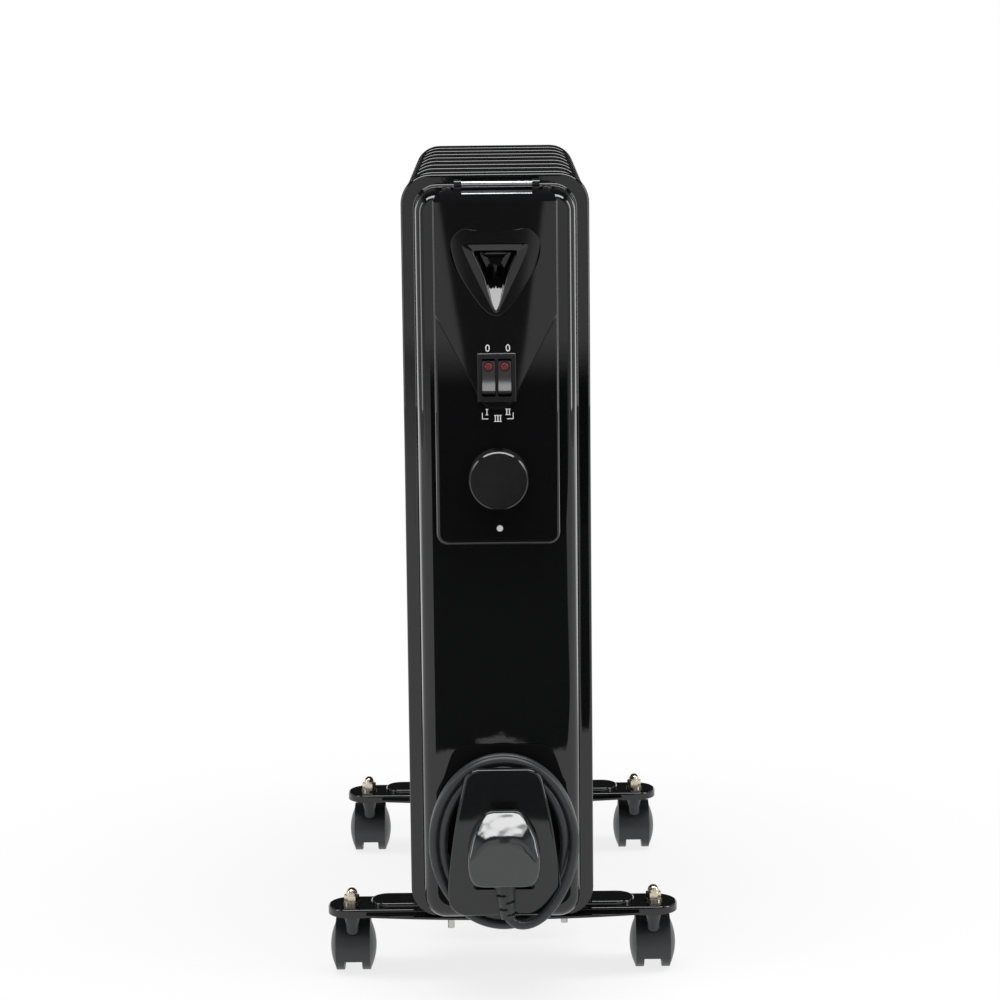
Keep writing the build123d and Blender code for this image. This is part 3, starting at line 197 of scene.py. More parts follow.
fin_enamel = enamel("fin_enamel", 0.000002, 0.0001, 0.15)
dress(fin_enamel, "header_collars", *[f"fin_{number}" for number in range(1, 10)])


# ---------------------------------------------------------------- front cover
# One deep drawn steel sheet: a flat flange with a box standing out of it, which hides the element,
# the terminals and the switches. It has the same enamel, on flatter and better polished steel.
cover_enamel = enamel("cover_enamel", 0.000002, 0.00006, 0.08)
dress(cover_enamel, "front_cover")


# ---------------------------------------------------------------- heating element, inside the cover
# A brass flange screwed to the first fin carries the sheathed elements, which lie in the oil of
# the lower header. Its gasket is red oil-proof rubber.
def metal(name, colour, stained, roughness, brush=(1.0, 1.0, 1.0)):
    """Bare or plated metal with a faint stain and fine drawing or turning marks."""
    finish = Finish(name, {"Metallic": 1.0})
    stain = cloud(finish, 60.0, 4.0, 0.65)
    marks = cloud(finish, 900.0, 2.0, 0.6, brush)
    finish.wear({
        "Base Color": tint(finish, stain, colour, stained),
        "Roughness": roughness + 0.12 * stain + 0.1 * marks,
        "Normal": bumps(finish, marks, 0.00002),
    })
    return finish


element_brass = metal("element_brass", (0.72, 0.5, 0.22), (0.42, 0.27, 0.12), 0.28)
dress(element_brass, "element_flange")
element_sheath = metal("element_sheath", (0.34, 0.3, 0.27), (0.2, 0.13, 0.09), 0.34)
dress(element_sheath, "heating_elements")

gasket = Finish("gasket_rubber", {"Specular IOR Level": 0.3})
gasket_grain = cloud(gasket, 1400.0, 3.0)
gasket.wear({
    "Base Color": tint(gasket, gasket_grain, (0.3, 0.07, 0.045), (0.22, 0.05, 0.035)),
    "Roughness": 0.62 + 0.1 * gasket_grain,
    "Normal": bumps(gasket, gasket_grain, 0.00005),
})
dress(gasket, "element_gasket")


# ---------------------------------------------------------------- terminals and switch bodies
# Grey-black glass-filled nylon, moulded dull, with the short fibres showing as a fine grain. The
# cut-out and the gland that the lead comes out of are moulded in it as well.
def satin_nylon(name, colour, roughness, grain):
    """Moulded plastic with a spark-eroded satin grain; grain is its height."""
    finish = Finish(name, {"IOR": 1.5})
    pits = cloud(finish, 2600.0, 2.0, 0.6)
    handled = cloud(finish, 24.0, 3.0, 0.6)
    lighter = tuple(1.25 * channel + 0.002 for channel in colour)
    finish.wear({
        "Base Color": tint(finish, handled, colour, lighter),
        "Roughness": roughness + 0.08 * handled + 0.05 * pits,
        "Normal": bumps(finish, pits, grain),
    })
    return finish


inner_nylon = satin_nylon("inner_nylon", (0.03, 0.03, 0.032), 0.5, 0.00004)
dress(inner_nylon, "terminal_block", "thermal_cutout", "switch_body", "thermostat_body",
      "cord_gland")


# ---------------------------------------------------------------- control panel
# A high gloss moulding in black ABS: a long cap over the box, with a pointed field standing out of
# its upper half and a soft bend at its top. Fine rubbing marks show in the gloss.
panel_face = flange - 0.0531    # Y of the panel's face,
raised_field = flange - 0.0541  # of the field that stands out of it,
field_edge = flange - 0.05385   # and of where that field's own shading starts
bend_start, bend_end = 0.5660, 0.5675  # heights between which its top bends over
field_tip, bend_tip = 0.009, 0.62      # how much is added to the normal's Z there


def gloss_plastic(name, colour, roughness, ripple, lean=None):
    """Polished black moulding with flow ripple and rubbing marks; lean tips its flats a little."""
    finish = Finish(name, {"IOR": 1.55})
    rubbed = cloud(finish, 18.0, 4.0, 0.6)
    hairlines = cloud(finish, 900.0, 3.0, 0.6)
    scratch = (hairlines > 0.66) * (rubbed > 0.5)
    flow = cloud(finish, 26.0, 1.0)
    normal = bumps(finish, flow, ripple)
    if lean is not None:
        tip = finish.node("ShaderNodeCombineXYZ", {}, {"Z": lean(finish)})
        normal = finish.node("ShaderNodeVectorMath", {"operation": "NORMALIZE"}, {
            0: finish.node("ShaderNodeVectorMath", {"operation": "ADD"}, {0: normal, 1: tip})})
    finish.wear({
        "Base Color": tint(finish, scratch, colour, tuple(1.5 * channel for channel in colour)),
        "Roughness": roughness * (0.7 + 0.7 * rubbed + 0.8 * scratch),
        "Normal": normal,
    })
    return finish


def part_of_place(finish, axis):
    return finish.node("ShaderNodeSeparateXYZ", {}, {"Vector": place_on(finish)}, axis)


def ramp(finish, value, start, end, low=0.0, high=1.0):
    """Low to high in a smooth step as the value goes from start to end."""
    return finish.node("ShaderNodeMapRange", {"interpolation_type": "SMOOTHSTEP"}, {
        "Value": value, "From Min": start, "From Max": end, "To Min": low, "To Max": high})


def field_lean(finish):
    """The pointed field faces up a little, and the panel's upper end turns over in a soft bend."""
    field = (part_of_place(finish, "Y") < field_edge) * field_tip
    return field + ramp(finish, part_of_place(finish, "Z"), bend_start, bend_end) * bend_tip


panel_gloss = gloss_plastic("panel_gloss", (0.0035, 0.0035, 0.004), 0.016, 0.000005, field_lean)
dress(panel_gloss, "control_panel")


# ---------------------------------------------------------------- grip recess
# A moulding let into the pointed field for the fingers. A flat heart-shaped rim leads to a
# three-sided mouth with a bevelled lip. Behind it the pocket is deep above, and a ramp climbs out
# of it to the lower corner.
def rounded_through(points, steps):
    """A smooth closed line through the points, each (across, up)."""
    line = []
    count = len(points)
    for number in range(count):
        before, start, end, after = (
            Vector(points[(number + shift) % count]) for shift in (-1, 0, 1, 2))
        for step in range(steps):
            share = step / steps
            line.append(0.5 * (2 * start + (end - before) * share
                               + (2 * before - 5 * start + 4 * end - after) * share ** 2
                               + (3 * start - before - 3 * end + after) * share ** 3))
    return line


def both_sides(half):
    """Mirrors a half outline that starts and ends on the middle line."""
    return half + [(-across, up) for across, up in reversed(half[1:-1])]


def skin(shape, rows, tip=None):
    """Faces between rings of points, and from the last ring to a tip; gives back the rings."""
    rings = [[shape.verts.new(place) for place in row] for row in rows]
    for outer, inner in zip(rings, rings[1:]):
        for number in range(len(outer)):
            after = (number + 1) % len(outer)
            shape.faces.new((outer[number], outer[after], inner[after], inner[number]))
    if tip is not None:
        end = shape.verts.new(tip)
        last = rings[-1]
        for number in range(len(last)):
            shape.faces.new((last[number], last[(number + 1) % len(last)], end))
    return rings


def on_body(piece, finish, body):
    """Gives a new piece its finish, its body and the material slot it stands for."""
    piece.data.materials.append(finish.material)
    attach(piece, body)
    return piece


def mesh_piece(name, build):
    """A mesh object from a function that fills a bmesh."""
    shape = bmesh.new()
    build(shape)
    bmesh.ops.recalc_face_normals(shape, faces=shape.faces)
    mesh = bpy.data.meshes.new(name)
    shape.to_mesh(mesh)
    shape.free()
    piece = bpy.data.objects.new(name, mesh)
    bpy.context.collection.objects.link(piece)
    return piece


scoop_low, scoop_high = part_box("grip_scoop")
scoop_half, scoop_tip_z, scoop_lobe_z = scoop_high[0], scoop_low[2], scoop_high[2]
scoop_fall = 0.0478             # from its widest point down to its tip
scoop_wide_z = scoop_tip_z + scoop_fall
scoop_gap = 0.00012             # round the rim
scoop_centre = Vector((0.0, scoop_tip_z + 0.034))
scoop_depth = 0.0205
wall_run = 0.0034               # how far the pocket's walls lean in on their way down
rim_rounding = 0.0006
lip_least, lip_most = 0.0006, 0.0046  # width of the bevelled lip, in the lower corner and above
lip_depth = 0.0017
ramp_foot = scoop_tip_z + 0.002
ramp_length = 0.032
ramp_step = 0.0003              # the ramp starts this far below the rim


def eased(start, end, value):
    share = min(1.0, max(0.0, (value - start) / (end - start)))
    return share * share * (3 - 2 * share)


def scoop_mouth(direction, inward):
    """Distance from the centre to the mouth, a triangle with soft corners, moved inward."""
    reach = 0.0
    sides = ((0.905, -0.425, 0.01446), (-0.905, -0.425, 0.01446), (0.0, 1.0, 0.0149))
    for slope_x, slope_z, away in sides:
        reach += (max(0.0, slope_x * direction.x + slope_z * direction.y) / (away - inward)) ** 10
    return reach ** -0.1


def scoop_floor(up):
    """How deep the ramp lies at a height."""
    share = min(1.0, max(0.0, (up - ramp_foot) / ramp_length))
    return ramp_step + scoop_depth * (1 - (1 - share) ** 1.3)


def build_scoop(shape):
    outline = rounded_through(both_sides([
        (0.0, scoop_lobe_z - 0.0024),
        (0.4 * scoop_half, scoop_lobe_z - 0.0012),
        (0.72 * scoop_half, scoop_lobe_z),
        (0.93 * scoop_half, 0.6 * scoop_lobe_z + 0.4 * scoop_wide_z),
        (scoop_half, scoop_wide_z),
        (0.815 * scoop_half, scoop_wide_z - 0.4 * scoop_fall),
        (0.353 * scoop_half, scoop_wide_z - 0.85 * scoop_fall),
        (0.0, scoop_tip_z),
    ]), 10)
    spokes = [(point - scoop_centre).normalized() for point in outline]
    rims = [(point - scoop_centre).length - scoop_gap for point in outline]
    mouths = [scoop_mouth(spoke, 0.0) for spoke in spokes]
    # from 0 in the lower corner of the mouth to 1 in its upper half
    opened = [eased(scoop_tip_z, scoop_tip_z + 0.026, (scoop_centre + spoke * mouth).y)
              for spoke, mouth in zip(spokes, mouths)]
    lips = [lip_least + (lip_most - lip_least) * share for share in opened]
    leans = [0.3 + 0.7 * share for share in opened]
    rows = []

    def ring(distances, depths):
        row = []
        for spoke, distance, depth in zip(spokes, distances, depths):
            place = scoop_centre + spoke * distance
            row.append((place.x, raised_field + depth, place.y))
        rows.append(row)

    def floor_depths(distances):
        return [scoop_floor((scoop_centre + spoke * distance).y)
                for spoke, distance in zip(spokes, distances)]

    def pocket(inward, depths):
        distances = [scoop_mouth(spoke, offset) for spoke, offset in zip(spokes, inward)]
        ring(distances, [min(pair) for pair in zip(depths, floor_depths(distances))])

    for inset, depth in ((0.0, 0.003), (0.0, 0.0006), (0.0001, 0.0003), (0.0003, 0.0001),
                         (rim_rounding, 0.0)):
        ring([rim - inset for rim in rims], [depth] * len(rims))
    for share in (0.015, 0.05, 0.3, 0.6, 0.9, 0.985):
        ring([(rim - rim_rounding) * (1 - share) + mouth * share
              for rim, mouth in zip(rims, mouths)], [0.0] * len(rims))
    for share in (0.06, 0.14, 0.4, 0.7, 0.92):
        pocket([lip * share for lip in lips],
               [lip_depth * lip / lip_most * share ** 1.15 for lip in lips])
    for beyond, depth in ((0.0, 0.0019), (0.0002, 0.0026), (0.0004, 0.0045), (0.0008, 0.009),
                          (0.0013, 0.014), (0.0018, 0.018), (0.0024, 0.0199),
                          (wall_run, scoop_depth)):
        pocket([lip + beyond * lean for lip, lean in zip(lips, leans)], [depth] * len(lips))
    for share in (0.75, 0.5, 0.25):
        distances = [scoop_mouth(spoke, lip + wall_run * lean) * share
                     for spoke, lip, lean in zip(spokes, lips, leans)]
        ring(distances, floor_depths(distances))
    skin(shape, rows, (0.0, raised_field + scoop_floor(scoop_centre.y), scoop_centre.y))


scoop_gloss = gloss_plastic("scoop_gloss", (0.004, 0.004, 0.0045), 0.03, 0.000006)
scoop = on_body(
    mesh_piece("grip_recess", build_scoop), scoop_gloss, "radiator")
scoop.data.shade_smooth()
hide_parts("grip_scoop")


# ---------------------------------------------------------------- switches
# A double rocker switch snapped into the panel: satin frame, two dished rockers in polished nylon
# and a round red lens in the head of each, paler in a ring round its edge.
frame_nylon = satin_nylon("switch_frame_nylon", (0.0035, 0.0035, 0.004), 0.08, 0.000002)
dress(frame_nylon, "switch_frame")
dish_top, dish_bottom, rocker_foot = 0.4510, 0.4392, 0.4382  # heights


def rocker_lean(finish):
    """The lower half of each rocker is dished, so that it faces up more and more to its foot."""
    up = part_of_place(finish, "Z")
    return ramp(finish, up, dish_top, dish_bottom, 0.0, 0.95) * (up > rocker_foot)


rocker_gloss = gloss_plastic("rocker_gloss", (0.009, 0.009, 0.01), 0.34, 0.00001, rocker_lean)
dress(rocker_gloss, "rocker_left", "rocker_right")


def unsigned(finish, value):
    return finish.node("ShaderNodeMath", {"operation": "ABSOLUTE"}, {0: value})


lens_red = Finish("lens_red", {"IOR": 1.58, "Coat Weight": 0.6, "Coat Roughness": 0.03})
facets = lens_red.node(
    "ShaderNodeTexVoronoi", {"feature": "F1"}, {"Vector": place_on(lens_red), "Scale": 1500.0})
lens_low, lens_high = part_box("lens_right")
lens_radius = 0.0034
beside_axis = unsigned(lens_red, part_of_place(lens_red, "X")) - (lens_low[0] + lens_high[0]) / 2
over_axis = part_of_place(lens_red, "Z") - (lens_low[2] + lens_high[2]) / 2
lens_share = (beside_axis * beside_axis + over_axis * over_axis) ** 0.5 / lens_radius
glass = tint(lens_red, facets, (0.15, 0.001, 0.002), (0.05, 0.0005, 0.001))
ring_from, ring_to = 0.7, 0.93  # shares of the radius
collar = (lens_share > ring_from) * (lens_share < ring_to)
lens_red.wear({
    "Base Color": tint(lens_red, collar, glass, (0.4, 0.07, 0.07)),
    "Roughness": 0.08 + 0.1 * facets,
    "Normal": bumps(lens_red, facets, 0.00012),
})
dress(lens_red, "lens_left", "lens_right")


# ---------------------------------------------------------------- printed marks
# White pad printing, a few hundredths thick: 0 over each rocker for off, I and II under them for
# the two heats, III between corner marks for both together, and a dot that the dial is read at.
print_white = Finish("print_white", {"IOR": 1.45})
print_grain = cloud(print_white, 3000.0, 2.0)
print_white.wear({
    "Base Color": tint(print_white, print_grain, (0.78, 0.78, 0.76), (0.6, 0.6, 0.59)),
    "Roughness": 0.45 + 0.1 * print_grain,
})
print_thickness = 0.00006


def printed_bars(name, y, bars):
    """Flat bars of print, each (left, right, bottom, top) in millimetres, on a plane facing -Y."""
    def build(shape):
        for left, right, bottom, top in bars:
            low = Vector((left / 1000, y - print_thickness, bottom / 1000))
            high = Vector((right / 1000, y, top / 1000))
            middle = (low + high) / 2
            size = Matrix.Diagonal((*(high - low), 1.0))
            bmesh.ops.create_cube(shape, size=1.0, matrix=Matrix.Translation(middle) @ size)
        edges = [edge for edge in shape.edges
                 if abs(edge.verts[0].co.y - edge.verts[1].co.y) > 1e-6]
        bmesh.ops.bevel(shape, geom=edges, offset=0.00008, segments=2, affect="EDGES")
    return on_body(mesh_piece(name, build), print_white, "radiator")


def roman(centre, base, strokes, height=4.3, pitch=1.75, stem=0.62, serif=0.42, reach=0.62):
    """Bars of a slab-serif numeral: stems side by side with one foot and one head across them."""
    half = (strokes - 1) * pitch / 2
    left, right = centre - half - stem / 2 - reach, centre + half + stem / 2 + reach
    bars = [(left, right, base, base + serif), (left, right, base + height - serif, base + height)]
    for number in range(strokes):
        middle = centre - half + number * pitch
        bars.append((middle - stem / 2, middle + stem / 2, base + serif, base + height - serif))
    return bars


printed_bars("mark_one", raised_field, roman(-6.9, 421.2, 1))
printed_bars("mark_two", raised_field, roman(7.4, 421.2, 2))
printed_bars("mark_three", raised_field, roman(0.5, 416.6, 3, height=4.6))
printed_bars("mark_corner_left", raised_field, [
    (-10.3, -9.8, 418.9, 422.9), (-10.3, -5.9, 418.4, 418.9)])
printed_bars("mark_corner_right", raised_field, [
    (10.6, 11.1, 418.9, 422.9), (6.6, 11.1, 418.4, 418.9)])


def figure(name, text, height, finish, body, thickness):
    """A figure as a solid letter, standing on the plane that its matrix gives it."""
    letter = bpy.data.curves.new(name, "FONT")
    letter.body = text
    letter.align_x = "CENTER"
    letter.align_y = "CENTER"
    letter.size = height / 0.72  # figures are 0.72 of the font's size high
    letter.extrude = thickness / 2
    letter.bevel_depth = thickness / 4
    letter.bevel_resolution = 1
    piece = bpy.data.objects.new(name, letter)
    bpy.context.collection.objects.link(piece)
    return on_body(piece, finish, body)


facing_front = Matrix.Rotation(math.pi / 2, 4, "X")
zero_height, zero_middle_z = 0.0049, 0.4666
for side_name, across in (("left", -0.0060), ("right", 0.0077)):
    zero = figure(f"mark_off_{side_name}", "0", zero_height, print_white, "radiator",
                  print_thickness)
    zero.matrix_world = Matrix.Translation((across, raised_field, zero_middle_z)) @ facing_front
dot_x, dot_z, dot_radius = 0.001, 0.343, 0.00215
dot_edge = 0.00005


def build_dot(shape):
    placed = Matrix.Translation((dot_x, panel_face - print_thickness / 2, dot_z))
    bmesh.ops.create_cone(
        shape, cap_ends=True, segments=48, radius1=dot_radius, radius2=dot_radius - dot_edge,
        depth=print_thickness, matrix=placed @ facing_front)


on_body(mesh_piece("mark_index", build_dot), print_white, "radiator")


# ---------------------------------------------------------------- thermostat knob
# A moulded disc with a bevelled rim, pushed on the thermostat's shaft. Its figures stand out of
# the face in the same black plastic, 60 degrees apart, with 0 at the dot when it is turned off.
knob_gloss = gloss_plastic("knob_gloss", (0.005, 0.005, 0.0055), 0.12, 0.00002)
dress(knob_gloss, "knob")
shaft_steel = metal("shaft_steel", (0.5, 0.5, 0.49), (0.36, 0.35, 0.34), 0.3)
dress(shaft_steel, "thermostat_shaft")

knob_low, knob_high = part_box("knob")
knob_centre = Vector((
    (knob_low[0] + knob_high[0]) / 2, knob_low[1], (knob_low[2] + knob_high[2]) / 2))
figure_circle = 0.0147
figure_rise = 0.00018
figure_height = 0.0048
for number in range(6):
    turned = math.radians(180 - 60 * number)
    digit = figure(f"knob_figure_{number}", str(number), figure_height, knob_gloss, "knob",
                   figure_rise)
    spoke = Matrix.Rotation(turned, 4, "Y") @ Matrix.Translation((0, 0, figure_circle))
    digit.matrix_world = Matrix.Translation(knob_centre) @ spoke @ facing_front


# ---------------------------------------------------------------- grip bar
# A bright plated rod held across the top of the box by two small moulded feet, each with a screw.
bar_chrome = metal("bar_chrome", (0.62, 0.63, 0.64), (0.5, 0.51, 0.52), 0.12, (0.1, 1.0, 1.0))
dress(bar_chrome, "grip_bar")
foot_gloss = gloss_plastic("grip_foot_gloss", (0.01, 0.01, 0.011), 0.12, 0.00001)
dress(foot_gloss, "grip_brackets")
screw_black = metal("screw_black", (0.06, 0.06, 0.062), (0.035, 0.034, 0.034), 0.28)
dress(screw_black, "top_screws", "cover_screws")


# ---------------------------------------------------------------- cord hub and plug dock
# A back plate and an oval hub that the lead is wound on, moulded dull, and a broad polished plate
# that closes them and has a seat for the plug.
hub_matt = Finish("hub_matt", {"IOR": 1.45, "Specular IOR Level": 0.08})
hub_pits = cloud(hub_matt, 2600.0, 2.0, 0.6)
hub_wear = cloud(hub_matt, 30.0, 3.0)
hub_matt.wear({
    "Base Color": tint(hub_matt, hub_wear, (0.002, 0.002, 0.0022), (0.0035, 0.0035, 0.0038)),
    "Roughness": 0.5 + 0.1 * hub_pits,
    "Normal": bumps(hub_matt, hub_pits, 0.00003),
})
dress(hub_matt, "cord_hub")
dock_crown_z = 0.095
tip_per_metre = 0.8


def dock_lean(finish):
    """The plate is crowned: it faces up above its crown and down below it."""
    return (part_of_place(finish, "Z") - dock_crown_z) * tip_per_metre


dock_gloss = gloss_plastic("dock_gloss", (0.006, 0.0065, 0.007), 0.05, 0.00004, dock_lean)
dress(dock_gloss, "dock_plate")


# ---------------------------------------------------------------- plug
# A plug moulded in one with its lead: black PVC over a rigid core, with brass pins. Its back is
# flat below and falls away above in a rippled, polished dome.
def moulded_pvc(name, colour, roughness, grain):
    """Flexible PVC: satin, slightly uneven, with a faint bloom."""
    finish = Finish(name, {"IOR": 1.5, "Sheen Weight": 0.05, "Sheen Roughness": 0.4})
    bloom = cloud(finish, 90.0, 4.0, 0.6)
    pores = cloud(finish, 1800.0, 2.0, 0.6)
    lighter = tuple(1.4 * channel for channel in colour)
    finish.wear({
        "Base Color": tint(finish, bloom, colour, lighter),
        "Roughness": roughness + 0.12 * bloom,
        "Normal": bumps(finish, pores, grain),
    })
    return finish


plug_low, plug_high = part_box("plug_body")
plug_x = (plug_low[0] + plug_high[0]) / 2
plug_half = plug_high[0] - plug_x
plug_centre = Vector((plug_x, plug_low[2] + 0.0215))
plug_edge_width, plug_edge_depth = 0.002, 0.0018  # the rounding between the back and the wall
dome_steps = 36
crown_above, crown_radius, crown_width = 0.0137, 0.0168, 1.15  # where the back is still flat
dome_bend, dome_slope = 0.006, 0.95


def plug_fall(place):
    """How far the dome has fallen back from the face: first in a bend, then in a slope."""
    from_crown = math.hypot((place.x - plug_x) / crown_width, place.y - plug_low[2] - crown_above)
    beyond = max(0.0, from_crown - crown_radius)
    if beyond < dome_bend:
        return dome_slope * beyond * beyond / (2 * dome_bend)
    return dome_slope * (beyond - dome_bend / 2)


def build_plug(shape):
    top, bottom = plug_high[2], plug_low[2]
    outline = rounded_through([(plug_x + across, up) for across, up in both_sides([
        (0.0, top), (0.0085, top - 0.0003), (0.0132, top - 0.0026), (0.0178, top - 0.0086),
        (0.0219, top - 0.0171), (0.0244, top - 0.0276), (plug_half, top - 0.0341),
        (0.0241, top - 0.0421), (0.0219, bottom + 0.0027), (0.0185, bottom + 0.0005),
        (0.009, bottom), (0.0, bottom)])], 8)
    rows = []
    for wall_share in (0.0, 0.5, 1.0):
        rows.append([])
        for point in outline:
            edge = plug_low[1] + plug_edge_depth + plug_fall(point)
            rows[-1].append((point.x, plug_high[1] + (edge - plug_high[1]) * wall_share, point.y))
    for step in range(1, dome_steps):
        rows.append([])
        for point in outline:
            place = point.lerp(plug_centre, (step / dome_steps) ** 1.5)
            inset = min(1.0, (point - place).length / plug_edge_width)
            rounding = plug_edge_depth * (1 - math.sqrt(1 - (1 - inset) ** 2))
            rows[-1].append((place.x, plug_low[1] + rounding + plug_fall(place), place.y))
    rings = skin(shape, rows, (plug_centre.x, plug_low[1], plug_centre.y))
    shape.faces.new(rings[0])


plug_pvc = Finish("plug_pvc", {"IOR": 1.6, "Coat Weight": 0.5, "Coat Roughness": 0.03})
plug_bloom = cloud(plug_pvc, 90.0, 4.0, 0.6)
dome_low, dome_high = 0.124, 0.134  # heights between which the ripple of the dome sets in
dome = ramp(plug_pvc, part_of_place(plug_pvc, "Z"), dome_low, dome_high)
plug_pvc.wear({
    "Base Color": tint(plug_pvc, plug_bloom, (0.009, 0.010, 0.011), (0.014, 0.015, 0.016)),
    "Roughness": 0.1 + 0.06 * plug_bloom,
    "Normal": bumps(plug_pvc, cloud(plug_pvc, 42.0, 2.0) * (0.0001 + 0.0022 * dome), 1.0),
})
plug = on_body(mesh_piece("plug_shell", build_plug), plug_pvc, "radiator")
plug.data.shade_smooth()
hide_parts("plug_body")
pin_brass = metal("pin_brass", (0.78, 0.6, 0.3), (0.6, 0.42, 0.2), 0.22)
dress(pin_brass, "plug_pins")


# ---------------------------------------------------------------- strain relief
# A tapered sleeve moulded over the lead where it leaves the plug, cut by slots from alternate
# sides so that it bends in a fair curve instead of kinking.
relief_root = Vector((0.0014, flange - 0.0734, 0.1003))
relief_down = Vector((math.sin(math.radians(5)), 0.0, -math.cos(math.radians(5))))
relief_length = 0.027
relief_root_radius, relief_end_radius = 0.0076, 0.0050
slot_shares = (0.34, 0.54, 0.72, 0.88)  # places of the slots along the sleeve
slot_half_share = 0.032
slot_depth = 0.0024


def build_relief(shape):
    stations, spokes = 101, 48
    across = relief_down.cross(Vector((0, 1, 0))).normalized()
    outward = Vector((0, -1, 0))
    rows = []
    for station in range(stations):
        share = station / (stations - 1)
        here = relief_root + relief_down * (relief_length * share)
        radius = relief_root_radius - (relief_root_radius - relief_end_radius) * share ** 1.2
        rows.append([])
        for spoke in range(spokes):
            turn = 2 * math.pi * spoke / spokes
            direction = across * math.cos(turn) + outward * math.sin(turn)
            cut = 0.0
            for number, slot_share in enumerate(slot_shares):
                hand = 1 if number % 2 else -1
                depth = max(0.0, 1 - abs(share - slot_share) / slot_half_share)
                spread = max(0.0, min(1.0, 5 * (0.1 + hand * math.cos(turn))))
                cut = max(cut, min(1.0, 2.5 * depth) * spread)
            rows[-1].append(here + direction * (radius - slot_depth * cut))
    rings = skin(shape, rows)
    shape.faces.new(rings[0])
    shape.faces.new(rings[-1])


relief_pvc = moulded_pvc("relief_pvc", (0.016, 0.017, 0.018), 0.34, 0.00001)
relief = on_body(mesh_piece("strain_relief", build_relief), relief_pvc, "radiator")
relief.data.shade_smooth()
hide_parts("plug_strain_relief")


# ---------------------------------------------------------------- mains lead
# Three cores in a round black PVC sheath, 6.6 mm across. It leaves the gland beside the hub, is
# wound on it in two layers of two turns, comes off the front of the coil on the right, dips round
# the corner of the dock plate and rises into the plug.
lead_radius = 0.0033
gland_low, gland_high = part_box("cord_gland")
gland_mouth = Vector(((gland_low[0] + gland_high[0]) / 2, (gland_low[1] + gland_high[1]) / 2,
                      gland_low[2]))
coil_centre = Vector((0.0014, 0.0, 0.122))
inner_turn, outer_turn = (0.0422, 0.0524), (0.0488, 0.0589)
back_turn, front_turn = flange - 0.0488, flange - 0.0562
points_per_turn = 20
first_step, layer_change, last_step = (0.92, 1.02), (1.82, 1.94), (2.72, 2.86)  # in turns


def coil_point(turns):
    """Centre of the lead after so many turns clockwise from the bottom, seen from the front."""
    outwards = eased(*layer_change, turns)
    forwards = eased(*first_step, turns) - outwards + eased(*last_step, turns)
    half_width = inner_turn[0] + (outer_turn[0] - inner_turn[0]) * outwards
    half_height = inner_turn[1] + (outer_turn[1] - inner_turn[1]) * outwards
    joining = 0.8 + 0.2 * eased(-0.16, 0.08, turns)
    stretch = joining / math.cos(math.pi / points_per_turn)
    angle = -math.pi / 2 - 2 * math.pi * turns
    return Vector((
        coil_centre.x + half_width * stretch * math.cos(angle),
        back_turn + (front_turn - back_turn) * forwards,
        coil_centre.z + half_height * stretch * math.sin(angle)))


lead_points = [
    gland_mouth,
    gland_mouth - Vector((0, 0, 0.006)),
    gland_mouth - Vector((0.0005, 0, 0.014)),
]
first_turns, last_turns = -0.09, 3.71
steps = round((last_turns - first_turns) * points_per_turn)
for step in range(steps + 1):
    lead_points.append(coil_point(first_turns + (last_turns - first_turns) * step / steps))
lead_points += [Vector((x, flange + y, z)) for x, y, z in (
    (0.0508, -0.0570, 0.1220),
    (0.0494, -0.0620, 0.1095),
    (0.0446, -0.0682, 0.0960),
    (0.0365, -0.0708, 0.0826),
    (0.0280, -0.0713, 0.0728),
    (0.0186, -0.0722, 0.0679),
    (0.0097, -0.0729, 0.0680),
    (0.00393, -0.0734, 0.0734),
    (0.00358, -0.0734, 0.0774),
    (0.00300, -0.0734, 0.0840),
)]

route = bpy.data.curves.new("mains_lead", "CURVE")
route.dimensions = "3D"
route.bevel_depth = lead_radius
route.bevel_resolution = 6
route.resolution_u = 8
route.use_fill_caps = True
run = route.splines.new("NURBS")
run.points.add(len(lead_points) - 1)
for point, place in zip(run.points, lead_points):
    point.co = (*place, 1.0)
run.order_u = 3
run.use_endpoint_u = True
lead = bpy.data.objects.new("mains_lead", route)
bpy.context.collection.objects.link(lead)
lead_pvc = moulded_pvc("lead_pvc", (0.014, 0.016, 0.017), 0.33, 0.00001)
on_body(lead, lead_pvc, "radiator")
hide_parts("cord_coil", "cord_lead")


# ---------------------------------------------------------------- feet
# Two bars pressed from steel sheet with a rib along the middle, enamelled like the body and hung
# from the lowest oil channels by bent zinc-plated rods and nuts.
foot_enamel = enamel("foot_enamel", 0.000004, 0.00008, 0.2)
dress(foot_enamel, "front_foot_bar", "rear_foot_bar")
rod_zinc = metal("rod_zinc", (0.62, 0.62, 0.6), (0.46, 0.46, 0.43), 0.27, (1.0, 1.0, 0.2))
dress(rod_zinc, "hangers", "caster_stems")
nut_nickel = metal("nut_nickel", (0.78, 0.72, 0.58), (0.6, 0.54, 0.42), 0.1)
dress(nut_nickel, "cap_nuts")


# ---------------------------------------------------------------- casters
# Twin-wheel casters in black nylon: a hood over two domed wheels that turn on a plated pin. The
# wheels are slightly duller than the hoods.
hood_nylon = satin_nylon("hood_nylon", (0.02, 0.021, 0.023), 0.3, 0.00001)
wheel_nylon = satin_nylon("wheel_nylon", (0.018, 0.019, 0.021), 0.34, 0.00001)
axle_steel = metal("axle_steel", (0.55, 0.55, 0.54), (0.4, 0.4, 0.38), 0.25)
for end in ("front", "rear"):
    for hand in ("left", "right"):
        dress(hood_nylon, f"caster_hood_{end}_{hand}")
        dress(axle_steel, f"caster_axle_{end}_{hand}")
        dress(wheel_nylon, f"wheel_{end}_{hand}_left", f"wheel_{end}_{hand}_right")


